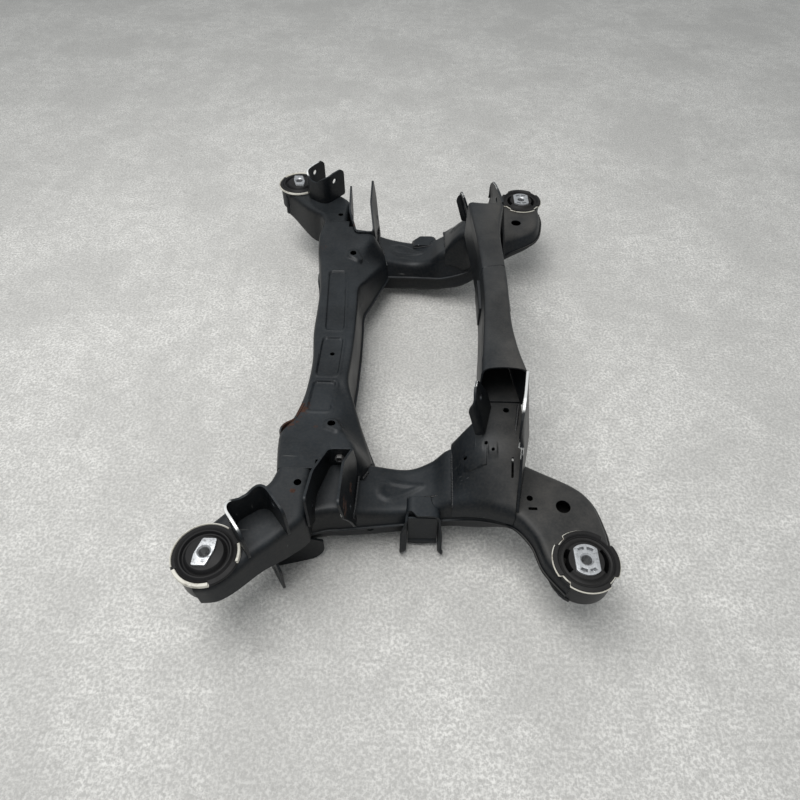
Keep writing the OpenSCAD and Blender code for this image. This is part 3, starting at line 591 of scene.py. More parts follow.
def offset_path(path, d):
    """The plane path moved sideways, to its left when d is positive."""
    out = []
    last = len(path) - 1
    for i, p in enumerate(path):
        a = (path[max(i, 1)] - path[max(i, 1) - 1]).normalized()
        b = (path[min(i + 1, last)] - path[min(i, last - 1)]).normalized()
        s = a + b
        out.append(p + d * 2.0 / s.dot(s) * Vector((-s.y, s.x)))
    return out


def soft_path(points, reach, steps=8):
    pts = [Vector(p) for p in points]
    out = [pts[0]]
    for i in range(1, len(pts) - 1):
        out += rounded(pts[i - 1], pts[i], pts[i + 1], reach, steps)
    return out + [pts[-1]]


CAMBER_PATH = soft_path([
    (CAMBER_RIGHT, -CAMBER_END), (CAMBER_RIGHT, -364), (CAMBER_RIGHT + 9, -CAMBER_BACK),
    (CAMBER_LEFT + 18, -CAMBER_BACK), (CAMBER_LEFT, -366), (CAMBER_LEFT - 1, -CAMBER_END)], 9)


def arm_room():
    """Where the front arm and the pocket take over from the cross member."""
    return prism([(-FAR, -348.7), (CAMBER_LEFT, -348.7), (CAMBER_LEFT, -330),
                  (FAR, -330), (FAR, -FAR), (-FAR, -FAR)], FAR)


def hook_lip(sizes):
    """The curled end of the flange that steps out from the crown's front edge."""
    path = soft_path([
        (-179, -196), (-184, -214), (-190, -231), (-207, -241), (-214, -252), (-212, -262)], 7, 6)
    rows = []
    for k, p in enumerate(path):
        t = k / (len(path) - 1)
        top = mix(157, 152, t) + 2.0 * math.sin(math.pi * t)
        rows.append([Vector((p.x, p.y, mix(top, top - 13, j / 5))) for j in range(6)])
    return sheet(rows, sizes.sheet)


def front_beam_upper_shape(sizes):
    rows = curve(BEAM_STATIONS, 336)
    obj = new_object("front_beam_upper_skin", sheet(
        [beam_hat(s, sizes.lip) for s in rows], sizes.sheet, crown_lift(sizes.panel)))
    combine(obj, upright(CROWN_HOLE, 120, 190))
    for flip in (False, True):
        for tool in (upright(COLLAR_HOLE, 120, 200), camber_pocket(SEAM), arm_room(), rail_body(-FAR, 40)):
            combine(obj, mirrored(tool) if flip else tool)
    return obj


def front_beam_lower_shape(sizes):
    rows = [s for s in curve(BEAM_STATIONS, 168) if abs(s[0]) < 300]
    obj = new_object("front_beam_lower_skin", sheet([beam_tray(s) for s in rows], sizes.sheet))
    cut(obj, rail_body(-FAR, 40), mirrored(rail_body(-FAR, 40)))
    return obj


# Station: front edge x, lateral, outboard edge x, lateral, foot
ARM_STATIONS = [
    (-202, 348.9, -141, 348.9, 102.3),
    (-212, 376, -141, 398, 102.3),
    (-235, 395, -142, 437, 102.3),
    (-254.5, 414, -170.5, 469, 108),
    (-285.5, 449, -204.5, 501, 121),
    (-301.5, 465, -236.5, 536, 127),
    (-306.5, 467, -259.5, 552, 128),
    (-310.5, 470, -282.5, 555.8, 129),
]
ARM_FLOOR = 127.0


def arm_hat(s):
    corners = [Vector((s[2], -s[3], s[4])), Vector((s[2] - 3, -s[3], FRONT_TOP)),
               Vector((s[0] + 3, -s[1], FRONT_TOP)), Vector((s[0], -s[1], s[4] - 9))]
    return section(corners, (EDGE_R, EDGE_R), (6, 20, 6), 8)


def front_arm_upper_shape(sizes):
    obj = new_object("front_arm_upper_left_skin", sheet(
        [arm_hat(s) for s in curve(ARM_STATIONS, 70)], sizes.sheet))
    cut(obj, sleeve_room(FRONT_BUSH), camber_pocket(SEAM), rail_body(-FAR, -20),
        upright(ARM_TOP_HOLE, 150, 200))
    return obj


def front_arm_lower_shape(sizes):
    inset = 2 * sizes.sheet
    front, back = [], []
    for s in curve(ARM_STATIONS, 56)[3:]:
        a, b = Vector((s[0], -s[1])), Vector((s[2], -s[3]))
        u = (b - a).normalized()
        front.append(a + inset * u)
        back.append(b - inset * u)
    obj = new_object("front_arm_lower_left_skin", prism(
        front + back[::-1], sizes.sheet, at_height(ARM_FLOOR)))
    cut(obj, sleeve_room(FRONT_BUSH), camber_pocket(SEAM), rail_body(-FAR, -20),
        upright(ARM_FLOOR_HOLE, 100, 150))
    return obj


# Station: x, inboard crest, outboard crest, inboard top, outboard top, inboard foot
TOWER_STATIONS = [
    (84, 271, 385, 154, 131, 74),
    (102, 268, 388, 185, 139, 76),
    (124, 256, 393, 210, 146, 86),
    (150, 218, 401, 218, 153, 114),
    (196, 218, 416, 218, 154, 134),
]


def tower_hat(s, spans=(8, 14, 26, 4)):
    x = s[0]
    corners = [Vector((x, -271, s[5])), Vector((x, -s[1], s[3])), Vector((x, -317, s[3] - 4)),
               Vector((x, -s[2], s[4])), Vector((x, -s[2] - 2, s[4] - 30))]
    return section(corners, (EDGE_R, 2 * EDGE_R, EDGE_R), spans, 8)


def behind_tower():
    """Everything behind the outer ear's front face."""
    loops = []
    for k in range(9):
        u = 1.2 - 0.2 * k
        a, b = ear_flare(u, 1.2), ear_flare(u, 0.0)
        back = Vector((FAR, 0, 0))
        near = Vector((4.7, 0, 0))
        loops.append([EAR_PLACE @ q for q in (a - near, b - near, b + back, a + back)])
    return loft(loops)


TOWER_BOSS = 145, 325
# Doubler plate on the hood, seen from above
TOWER_PATCH = [(98, -318), (118, -309), (136, -319), (135, -343), (112, -345), (93, -336)]


def outline_gap(x, y, points):
    """Signed distance from a convex outline, negative inside."""
    gap = -FAR
    for (x0, y0), (x1, y1) in zip(points, points[1:] + points[:1]):
        length = math.hypot(x1 - x0, y1 - y0)
        gap = max(gap, ((y - y0) * (x1 - x0) - (x - x0) * (y1 - y0)) / length)
    return gap


def tower_lift(p):
    """The doubler plate and the boss beside it."""
    if p.z < 140:
        return 0.0
    plate = 1.0 - smooth(-0.6, 0.6, outline_gap(p.x, p.y, TOWER_PATCH))
    boss = 1.0 - smooth(6.5, 8.5, math.hypot(p.x - TOWER_BOSS[0], p.y + TOWER_BOSS[1]))
    return 1.6 * plate + 1.8 * boss


def rear_tower_shape(sizes):
    obj = new_object("rear_tower_left_skin", sheet(
        [tower_hat(s) for s in curve(TOWER_STATIONS, 160)], sizes.sheet, tower_lift))
    slot_hole = [(173.5, -363), (177.0, -363), (177.5, -336), (174, -336)]
    slot = prism(soft_outline(slot_hole, 1.5), 60, at_height(165))
    # The small holes come first: after the large cuts the exact solver loses the hood
    cut(obj, upright((134.5, 313, 5.5), 190, 230), upright((103.3, 323.7, 5.3), 140, 230),
        upright((*TOWER_BOSS, 5), 180, 230), slot, rail_body(20), behind_tower(),
        upright(TOWER_HOLE, 190, 250))
    return obj


REAR_HALF = [(60, -1, -1), (125, -5, -2), (185, -10, 3), (240, -14, 13)]
REAR_STATIONS = [(-b[0], b[1], b[2]) for b in reversed(REAR_HALF)] + [(0, 0, 0)] + REAR_HALF


def rear_left(s):
    return REAR_BEAM_X - REAR_BEAM_HALF + s[1]


def rear_right(s):
    return REAR_BEAM_X + REAR_BEAM_HALF + s[2]


def rear_hat(s):
    low = TOWER_TOP + SEAM
    corners = [Vector((rear_left(s) - 2, s[0], low)), Vector((rear_left(s), s[0], REAR_BEAM_TOP)),
               Vector((rear_right(s), s[0], REAR_BEAM_TOP)), Vector((rear_right(s) + 2, s[0], low))]
    return section(corners, (12, 12), (10, 24, 10), 8)


def rear_lift(p):
    """The ragged joint across the crown and the long step on the front wall."""
    wander = 1.6 * noise.noise(Vector((p.x * 0.12, 3.1, 0.0))) + 0.2 * (p.x - 138)
    joint = 1.0 - smooth(0.6, 1.9, abs(p.y - 20 - wander))
    step = smooth(281, 284, p.z) * (1.0 - smooth(292, 295, p.z)) if p.x < 150 else 0.0
    return -1.3 * joint - 1.2 * step * (1.0 - smooth(190, 210, abs(p.y)))


def rear_beam_upper_shape(sizes):
    places = sorted({*(k / 20 for k in range(161)), *(4.2 + k / 90 for k in range(46))})
    rows = []
    for t in places:
        s = spline(REAR_STATIONS, t)
        middle, half = (rear_left(s) + rear_right(s)) / 2, (rear_right(s) - rear_left(s)) / 2
        row = rear_hat(s)
        for p in row:
            arch = 1.0 - min(abs(p.x - middle) / half, 1.0) ** 2
            p.y -= math.copysign(6.0 * arch * smooth(205, 240, abs(p.y)), p.y)
        rows.append(row)
    obj = new_object("rear_beam_upper_skin", sheet(rows, sizes.sheet, rear_lift))
    for low, high in (((131.5, -60, 228), (137, 20, 270)), ((183, -64, 228), (187.5, 6, 270))):
        tab = new_object("tab", box(low, high))
        soften(tab, 1.2, 3)
        part = [v.co / MM for v in tab.data.vertices], [tuple(f.vertices) for f in tab.data.polygons]
        bpy.data.objects.remove(tab)
        combine(obj, part, "UNION")
    return obj


def rear_beam_lower_shape(sizes):
    inset = sizes.sheet + 2 * SEAM - 2
    rows = [s for s in curve(REAR_STATIONS, 80) if abs(s[0]) < 238]
    outline = [(rear_left(s) + inset, s[0]) for s in rows]
    outline += [(rear_right(s) - inset, s[0]) for s in reversed(rows)]
    obj = new_object("rear_beam_lower_skin", prism(
        outline, sizes.sheet, at_height(TOWER_TOP + SEAM)))
    cut(obj, *(upright(hole, 200, 240) for hole in PLATE_HOLES))
    return obj


def strip(path, low, high, thick, rows=14):
    """Plate bent along a plane path, between the heights low[i] and high[i]."""
    grid = [
        [Vector((p.x, p.y, mix(z1, z0, j / rows))) for j in range(rows + 1)]
        for p, z0, z1 in zip(path, low, high)
    ]
    return sheet(grid, thick)


def resample(path, spacing):
    """The same plane path with points at most one spacing apart."""
    out = [path[0]]
    for a, b in zip(path, path[1:]):
        count = max(int((b - a).length / spacing), 1)
        out += [a.lerp(b, (k + 1) / count) for k in range(count)]
    return out


def travelled(path):
    places = [0.0]
    for a, b in zip(path, path[1:]):
        places.append(places[-1] + (b - a).length)
    return places


def quarter(distance, radius):
    """Drop of a rounded end at a distance from the tip."""
    if distance >= radius:
        return 0.0
    return radius - math.sqrt(max(radius * radius - (radius - distance) ** 2, 0.0))


GUIDE_PLACE = Matrix.Translation((-226.5, -437, 177.3)) @ Matrix.Rotation(math.radians(-52.3), 4, "Z")
GUIDE_LEN, GUIDE_HALF, GUIDE_BOLT = 66.0, 30.0, 47.0


def guide_path():
    ends = [(GUIDE_LEN, -GUIDE_HALF), (0, -GUIDE_HALF), (0, GUIDE_HALF), (GUIDE_LEN, GUIDE_HALF)]
    path = resample(soft_path(ends, 21, 12), 2.0)
    tip = path[-1] - path[-2]
    fine = [path[-1] - tip.normalized() * d for d in (1.4, 0.9, 0.5, 0.2)]
    mirror = [Vector((p.x, -p.y)) for p in fine]
    return path[:1] + mirror[::-1] + path[1:-1] + fine + path[-1:]


def guide_link_shape(sizes):
    path = guide_path()
    along = travelled(path)
    total = along[-1]
    low, high = [], []
    for p, s in zip(path, along):
        tip = min(s, total - s)
        saddle = smooth(GUIDE_HALF, 4.0, abs(p.y)) * smooth(26.0, 2.0, p.x)
        top = mix(64.0, 69.0, smooth(66.0, 10.0, tip)) if tip > 33 else 67.0
        high.append(min(top, 68.0) - 15.0 * saddle - quarter(tip, 15.0))
        low.append(quarter(tip, 5.0))
    part = strip(path, low, high, sizes.plate)
    obj = new_object("guide_link_bracket_left_skin", ([GUIDE_PLACE @ v for v in part[0]], part[1]))
    bolt = [GUIDE_PLACE @ Vector((GUIDE_LEN / 2, y, GUIDE_BOLT)) for y in (-60, 60)]
    combine(obj, rod(*bolt, BOLT_R))
    return obj


CAMBER_RIGHT_TOP = [(304, 176), (364, 217), (442, 230)]
CAMBER_RIGHT_LOW = [(410, 100), (420, 132), (434, 164), (446, 188)]
CAMBER_LEFT_TOP = [(304, 176), (368, 196), (428, 220)]
CAMBER_LEFT_LOW = [(399, 100), (434, 142)]
CAMBER_LEAN = 0.13


def camber_link_shape(sizes):
    path = [p for p in resample(offset_path(CAMBER_PATH, -2.0), 2.5) if p.x > -115 or -p.y < 436]
    path = [p for p in path if p.x < -115 or -p.y < 447]
    low, high = [], []
    for p in path:
        right = p.x > CAMBER_LEFT + 26
        lateral = -p.y
        tip = (447 if right else 436) - lateral
        top = table(CAMBER_RIGHT_TOP if right else CAMBER_LEFT_TOP, lateral)
        foot = table(CAMBER_RIGHT_LOW if right else CAMBER_LEFT_LOW, lateral)
        high.append(top - quarter(tip, 12.0 if right else 8.0))
        low.append(min(foot, high[-1] - 2.0))
    verts, faces = strip(path, low, high, sizes.plate, 24)
    for v in verts:
        top = table(CAMBER_RIGHT_TOP, -v.y)
        v.x += CAMBER_LEAN * max(top - v.z, 0.0) * smooth(-120, -92, v.x)
    obj = new_object("camber_link_bracket_left_skin", (verts, faces))
    cut(obj, rod((-200, -402, 154), (0, -402, 154), BOLT_R), rail_body(-FAR, -20))
    return obj


def standing(origin, turn):
    """Frame of an upright plate: local X runs along it, local Y up, local Z to its front."""
    return (Matrix.Translation(origin) @ Matrix.Rotation(math.radians(turn), 4, "Z")
            @ Matrix.Rotation(math.radians(90), 4, "X"))


LOWER_X, LOWER_END, LOWER_BOLT_Z, LOWER_FOOT_R = 38.0, 410.0, 26.0, 18.0
LOWER_BOLT_W = LOWER_END - LOWER_FOOT_R


def lower_link_shape(sizes):
    half, top = 27.0, RAIL_TOP + SEAM + 4.0
    left, right = LOWER_X - half + 2, LOWER_X + half - 2
    ends = [(right + 2, 1.0), (right, top), (left, top), (left - 2, 1.0)]
    path = resample(soft_path(ends, 11, 9), 2.5)
    grid = []
    for p in path:
        z = p.y
        if z < LOWER_FOOT_R:
            reach = math.sqrt(max(LOWER_FOOT_R ** 2 - (LOWER_FOOT_R - z) ** 2, 1.0))
            w0, w1 = LOWER_BOLT_W - reach, LOWER_BOLT_W + reach
        else:
            w0, w1 = table([(18, 374), (top, 355)], z), table([(18, LOWER_END), (top, LOWER_END - 18)], z)
            w1 -= 11.0 * smooth(29, 17, p.x) * smooth(90, 104, z)
        lean = smooth(55, 100, z)
        row = []
        for j in range(25):
            w = mix(w0, w1, j / 24)
            side = 1.0 if p.x > LOWER_X else -1.0
            reach = 3.5 + 3.0 * smooth(24, 6, z) if side > 0 else 9.0
            curl = reach * smooth(w1 - 9, w1, w) ** 2 * (1.0 - lean)
            row.append(Vector((p.x + side * curl * (1.0 if z < top - 2 else 0.0), -w, z)))
        grid.append(row)
    obj = new_object("lower_link_bracket_left_skin", sheet(grid, sizes.plate))
    web = [(left, 13), (LOWER_X - 8, 9), (right, 14), (right, 96), (left, 96)]
    combine(obj, prism(web, 3.0, standing((0, -385.2, 0), 0)), "UNION")
    bolt = [(x, -LOWER_BOLT_W, LOWER_BOLT_Z) for x in (-40, 110)]
    cut(obj, rail_body(-40, 115), rod(*bolt, BOLT_R))
    return obj


def front_lower_shape(sizes):
    corner = (-218.5, -431, 0)
    web = [(0, 0.2), (40, 0.2)] + arc_points((58, 34), 34, -70, 0, 10) + [(92, 54), (0, ARM_FLOOR - SEAM)]
    ear = [(0, 0.2), (26, 0.2), (56, 12), (66, 94), (54, 104), (52, ARM_FLOOR - SEAM), (0, ARM_FLOOR - SEAM)]
    obj = new_object("front_lower_bracket_left_skin", prism(
        soft_outline(web, 3), sizes.plate, standing(corner, 14)))
    shift = Matrix.Rotation(math.radians(14), 4, "Z") @ Vector((1, -1, 0))
    place = standing(Vector(corner) + shift, -57)
    plate = prism(soft_outline(ear, 9), sizes.plate, place)
    combine(obj, plate, "UNION")
    bolt = [place @ Vector((34, 46, z)) for z in (-20, 20)]
    cut(obj, rod(*bolt, BOLT_R), rail_body(-FAR, -60))
    return obj


EAR_IN_PLACE = Matrix.Translation((123, -240.6, 0)) @ Matrix.Rotation(math.radians(-14), 4, "Z")
EAR_PLACE = Matrix.Translation((192, -240.9, 0)) @ Matrix.Rotation(math.radians(-10), 4, "Z")
REAR_BOLT_U, REAR_BOLT_H = 32.0, 274.0
EAR_IN_LEAN = EAR_IN_PLACE @ Matrix.Translation((20, 0, 216)) @ Matrix.Rotation(math.radians(-17), 4, "Y")
EAR_IN_TOP = [
    (0, 37), (6, 50), (18, 76), (23, 85), (27, 89), (32, 88),
    (40, 85), (46, 82), (51, 77), (56, 69), (66, 58)]
EAR_TOP = [(0, 300), (30, 303), (60, 304), (80, 300), (94, 288), (102, 272), (108, 252), (111, 244)]


def rear_bolt():
    return rod(*(EAR_IN_PLACE @ Vector((x, -REAR_BOLT_U, REAR_BOLT_H)) for x in (-40, 120)), BOLT_R)


def rear_ear_inner_shape(sizes):
    path = resample(soft_path([(0, 0), (0, -56), (-11, -59)], 6, 8), 1.6)
    along = travelled(path)
    low, high = [], []
    for s in along:
        tip = along[-1] - s
        high.append(table(EAR_IN_TOP, s) - 0.6 * quarter(tip, 6.0))
        low.append(0.4 * quarter(tip, 10.0))
    part = strip(path, low, high, sizes.plate, 30)
    obj = new_object("rear_ear_inner_left_skin", ([EAR_IN_LEAN @ v for v in part[0]], part[1]))
    tower = loft([[p + Vector((0, SEAM, SEAM)) for p in tower_hat(s)] for s in curve(TOWER_STATIONS, 40)])
    cut(obj, rear_bolt(), tower)
    return obj


def ear_flare(u, t):
    """Point of the outer ear's lower part: u along the ear, t downwards."""
    return Vector((12 + t * (16 - 6 * u), -u * (111 + 47 * t) - 6 * t, mix(246.0, 153.5, t)))


def rear_ear_outer_shape(sizes):
    grid = []
    for k in range(57):
        u = 1.0 - k / 56
        lateral = 111 * u
        top = max(table(EAR_TOP, lateral), 247.0)
        upper = [Vector((4 + 8 * j / 14, -lateral, mix(top, 246.0, j / 14))) for j in range(14)]
        lower = [ear_flare(u, j / 16) for j in range(17)]
        grid.append(upper + lower)
    part = sheet(grid, sizes.plate)
    obj = new_object("rear_ear_outer_left_skin", ([EAR_PLACE @ v for v in part[0]], part[1]))
    combine(obj, rear_bolt())
    return obj


NOTCHES = (42.0, 138.0, 222.0, 318.0)


def notch_depth(angle):
    """How far the rear flange is cut back at an angle."""
    gap = min(abs((angle - a + 180) % 360 - 180) for a in NOTCHES)
    return 5.0 * (1.0 - smooth(9.0, 11.5, gap))


def at_bush(place):
    x, y, z = place
    return Matrix.Translation((x, -y, z))


def sleeve_shape(name, place):
    profile = [(42.5, -45.2), (43.0, -46), (45.4, -46), (46, -45.3),
               (46, -0.6), (45.5, 0), (43.0, 0), (42.5, -0.6)]
    return new_object(name, revolve(profile, 96, at_bush(place)))


CAN_PROFILE = [
    (39.7, -43.5), (42.0, -43.5), (42.2, -43.0), (42.2, 0.3), (49.8, 0.3),
    (50.4, 0.8), (50.4, 1.7), (49.9, 2.3), (39.7, 2.3),
]


# Raised beads of the front ring: first and last angle, width, height
FRONT_BEADS = [(58, 206, 2.4, 5.6), (213, 287, 5.6, 6.0), (-12, 22, 4.6, 6.0)]


def bead_room(angle):
    """Width that the rubber leaves free for a bead at an angle."""
    room = 0.0
    for start, end, width, _ in FRONT_BEADS:
        middle, half = (start + end) / 2, (end - start) / 2
        gap = abs((angle - middle + 180) % 360 - 180) - half
        room = max(room, (width + 0.4) * (1.0 - smooth(0.2, 2.5, gap)))
    return room


def front_can_shape(place):
    """Moulded ring with the three raised beads that the rubber leaves bare."""
    def rim(angle, r):
        return r - 4.0 + min(bead_room(angle), 4.0) if r > 48 else r
    obj = new_object("front_bush_can_left_skin", revolve(CAN_PROFILE, 240, at_bush(place), rim))
    for start, end, width, high in FRONT_BEADS:
        outer = 50.2
        profile = [(outer - width, 1.2), (outer, 1.2), (outer, high - 1.2), (outer - 0.8, high),
                   (outer - width + 0.8, high), (outer - width, high - 1.2)]
        combine(obj, revolve(profile, 64, at_bush(place), turn=(start, end)), "UNION")
    return obj


def rear_can_shape(place):
    def rim(angle, r):
        return r - notch_depth(angle) if r > 48 else r
    return new_object("rear_bush_can_left_skin", revolve(CAN_PROFILE, 240, at_bush(place), rim))


FRONT_RUBBER = [
    (11.5, -36), (31, -36), (39.3, -41), (39.3, 0.6), (49.6, 0.6), (50.3, 1.4), (50.2, 4.2),
    (49.2, 5.4), (42.6, 6.0), (41.4, 5.2), (40.2, 4.4), (39.0, 5.4), (37.6, 6.8), (35.8, 6.8),
    (34.6, 5.0), (33.4, 2.4), (31.6, 1.8), (30.0, 3.2), (28.6, 6.4), (26.6, 8.2), (11.5, 9.6),
]
REAR_RUBBER = [
    (12, -42), (31, -42), (39.3, -41), (39.3, 2.7), (48.2, 2.7), (49.0, 3.4), (48.6, 4.8),
    (46.4, 5.6), (43.0, 5.9), (41.8, 5.0), (40.4, 3.0), (38.6, 1.0), (36.0, 0.2), (33.5, 0.8),
    (31.4, 2.6), (29.6, 4.2), (12, 5.0),
]


def core_outline(kind, grow=0.0):
    if kind == "front":
        half = [(-6 - grow, 21 + grow), (14 + grow, 21 + grow), (14 + grow, 4 - grow)]
        return soft_outline(half + [(-x, -y) for x, y in half], 2.5)
    arc = arc_points((0, 0), 24.5 + grow, 44.4, 135.6, 20)
    return soft_outline(arc + [-p for p in arc], 1.2, 3)


def rubber_shape(kind, place):
    if kind == "front":
        part = revolve(FRONT_RUBBER, 240, at_bush(place), lambda a, r: r - bead_room(a) if r > 46 else r)
    else:
        part = revolve(REAR_RUBBER, 240, at_bush(place), lambda a, r: r - notch_depth(a) if r > 44 else r)
    obj = new_object(kind + "_bush_rubber_left_skin", part)
    combine(obj, prism(core_outline(kind, 0.1), 120, at_bush(place) @ at_height(-70)))
    if kind == "rear":
        for side in (-1, 1):
            outer = arc_points((0, 0), 33, -36, 36, 16) + arc_points((0, 0), 26, 36, -36, 16)
            void = [Vector((side * p.x, p.y)) for p in outer]
            combine(obj, prism(soft_outline(void, 2, 3), 60, at_bush(place) @ at_height(-24)))
    return obj


def core_shape(kind, place):
    rise = CORE_RISE[kind]
    obj = new_object(kind + "_bush_core_left_skin", prism(
        core_outline(kind), 58, at_bush(place) @ at_height(rise - 58)))
    bore = [(0.01, -70), (8, -70), (8, rise - 2.4), (10.4, rise), (10.4, rise + 5), (0.01, rise + 5)]
    combine(obj, revolve(bore, 64, at_bush(place)))
    if kind == "rear":
        for a in (52, 96, 232, 276):
            profile = [(15.5, rise - 9), (20.5, rise - 9), (20.5, rise + 5), (15.5, rise + 5)]
            combine(obj, revolve(profile, 16, at_bush(place), turn=(a, a + 32)))
    soften(obj, 0.9, 3)
    return obj


def nut_part(place, across, high):
    """Six-sided nut with a round bore and softened edges."""
    obj = new_object("nut", prism(ring(across / 2, 6), high, place))
    combine(obj, rod(*(place @ Vector((0, 0, z)) for z in (-5, high + 5)), across / 4))
    soften(obj, 0.7, 3)
    return obj


def merge(objs, name):
    """One object from several, keeping nothing of the others."""
    bm = bmesh.new()
    for o in objs:
        bm.from_mesh(o.data)
    mesh = bpy.data.meshes.new(name)
    bm.to_mesh(mesh)
    bm.free()
    for o in objs:
        old = o.data
        bpy.data.objects.remove(o)
        bpy.data.meshes.remove(old)
    obj = bpy.data.objects.new(name, mesh)
    bpy.context.scene.collection.objects.link(obj)
    return obj


def feed(tree, socket, value):
    """Links the value if it is a socket, and sets it if it is plain."""
    if isinstance(value, bpy.types.NodeSocket):
        tree.links.new(value, socket)
    else:
        socket.default_value = value


def opaque(colour):
    return *colour, 1.0


def add(tree, kind, settings=None, **inputs):
    """New node. An input is a plain value or a socket to link, named with _ for a space."""
    node = tree.nodes.new(kind)
    for key, value in (settings or {}).items():
        setattr(node, key, value)
    for key, value in inputs.items():
        name = key.replace("_", " ")
        feed(tree, node.inputs[int(name[3:])] if name.startswith("at ") else node.inputs[name], value)
    return node


def math_node(tree, operation, a, b):
    return add(tree, "ShaderNodeMath", {"operation": operation}, at_0=a, at_1=b).outputs[0]


def ramp(tree, value, low, high, start=0.0, end=1.0):
    """Soft step of a value from low to high."""
    node = add(tree, "ShaderNodeMapRange", {"interpolation_type": "SMOOTHSTEP"}, Value=value,
               From_Min=low, From_Max=high, To_Min=start, To_Max=end)
    return node.outputs["Result"]


def blend_colour(tree, factor, a, b):
    return add(tree, "ShaderNodeMix", {"data_type": "RGBA"}, at_0=factor, at_6=a, at_7=b).outputs[2]


def blend_value(tree, factor, a, b):
    return add(tree, "ShaderNodeMix", {"data_type": "FLOAT"}, at_0=factor, at_2=a, at_3=b).outputs[0]


def part_of(tree, value, share):
    """A share of a mask."""
    return math_node(tree, "MULTIPLY", value, share)


def bump(tree, shader, height, strength, distance, **normal):
    node = add(tree, "ShaderNodeBump", None, Strength=strength, Distance=distance, Height=height, **normal)
    tree.links.new(node.outputs[0], shader.inputs["Normal"])


def object_place(tree):
    return tree.nodes.new("ShaderNodeTexCoord").outputs["Object"]


def upward(tree):
    """How far the face looks up."""
    face = tree.nodes.new("ShaderNodeNewGeometry").outputs["Normal"]
    return add(tree, "ShaderNodeSeparateXYZ", None, Vector=face).outputs[2]


def noise_at(tree, vector, scale, detail=4.0, roughness=0.55):
    return add(tree, "ShaderNodeTexNoise", None, Vector=vector, Scale=scale, Detail=detail,
               Roughness=roughness).outputs[0]


def new_group(name, inputs, outputs):
    """Shader group with (name, kind, default) inputs and (name, kind) outputs."""
    tree = bpy.data.node_groups.new(name, "ShaderNodeTree")
    for label, kind, default in inputs:
        tree.interface.new_socket(label, in_out="INPUT", socket_type=kind).default_value = default
    for label, kind in outputs:
        tree.interface.new_socket(label, in_out="OUTPUT", socket_type=kind)
    return tree, tree.nodes.new("NodeGroupInput"), tree.nodes.new("NodeGroupOutput")


def use(tree, group, **inputs):
    return add(tree, "ShaderNodeGroup", {"node_tree": group}, **inputs)


FLOAT, VECTOR = "NodeSocketFloat", "NodeSocketVector"


def paint_skin_group():
    """Slow tone changes, fine mottling and the height of dipped paint."""
    tree, ins, outs = new_group(
        "Paint skin", [("Scale", FLOAT, 1.0)], [("Tone", FLOAT), ("Mottle", FLOAT), ("Height", FLOAT)])
    place = add(tree, "ShaderNodeVectorMath", {"operation": "SCALE"},
                at_0=object_place(tree), Scale=ins.outputs[0])
    slow = ramp(tree, noise_at(tree, place.outputs[0], 9.0, 3.0), 0.3, 0.72)
    fine = ramp(tree, noise_at(tree, place.outputs[0], 210.0, 3.0), 0.35, 0.7)
    peel = noise_at(tree, place.outputs[0], 420.0, 2.0)
    dents = noise_at(tree, place.outputs[0], 30.0, 2.0)
    height = math_node(tree, "ADD", part_of(tree, peel, 0.35), dents)
    for value, socket in zip((slow, fine, height), outs.inputs):
        tree.links.new(value, socket)
    return tree


def dust_sheen_group():
    """Dust on faces that look up, thicker towards the rear of the part, and the cover of those faces, which
    also masks a painted bluish sheen of the sky on them.
    """
    tree, ins, outs = new_group(
        "Settled dust and sky sheen", [("Amount", FLOAT, 0.2), ("Rear", FLOAT, 0.4)], [("Mask", FLOAT), ("Dust and sheen", FLOAT)])
    place = object_place(tree)
    up = ramp(tree, upward(tree), 0.45, 0.98)
    spot = add(tree, "ShaderNodeSeparateXYZ", None, Vector=place)
    rear = math_node(tree, "MULTIPLY", ramp(tree, spot.outputs[0], 0.105, 0.19), ins.outputs["Rear"])
    amount = math_node(tree, "ADD", ins.outputs["Amount"], rear)
    cloud = ramp(tree, noise_at(tree, place, 16.0, 5.0, 0.62), 0.25, 0.75, 0.35, 1.0)
    grain = ramp(tree, noise_at(tree, place, 320.0, 2.0), 0.3, 0.7, 0.75, 1.0)
    # Cover of the faces that look up: the base of the dust and the mask of the painted bluish sky sheen
    dust_and_sheen = part_of(tree, up, cloud)
    tree.links.new(part_of(tree, dust_and_sheen, part_of(tree, amount, grain)), outs.inputs[0])
    tree.links.new(dust_and_sheen, outs.inputs[1])
    return tree


def edge_group():
    """Bare metal along sharp edges. Bare is 0 for a few chips and 1 for an edge rubbed clean."""
    tree, ins, outs = new_group(
        "Worn edge", [("Width", FLOAT, 0.0015), ("Bare", FLOAT, 0.0)], [("Mask", FLOAT)])
    bevel = add(tree, "ShaderNodeBevel", {"samples": 6}, Radius=ins.outputs["Width"])
    flat = tree.nodes.new("ShaderNodeNewGeometry").outputs["Normal"]
    facing = add(tree, "ShaderNodeVectorMath", {"operation": "DOT_PRODUCT"}, at_0=bevel.outputs[0], at_1=flat)
    bend = math_node(tree, "SUBTRACT", 1.0, facing.outputs["Value"])
    chips = noise_at(tree, object_place(tree), 130.0, 4.0, 0.65)
    limit = blend_value(tree, ins.outputs["Bare"], 0.71, 0.25)
    broken = ramp(tree, math_node(tree, "SUBTRACT", chips, limit), 0.0, 0.1)
    tree.links.new(math_node(tree, "MULTIPLY", ramp(tree, bend, 0.03, 0.12), broken), outs.inputs[0])
    return tree


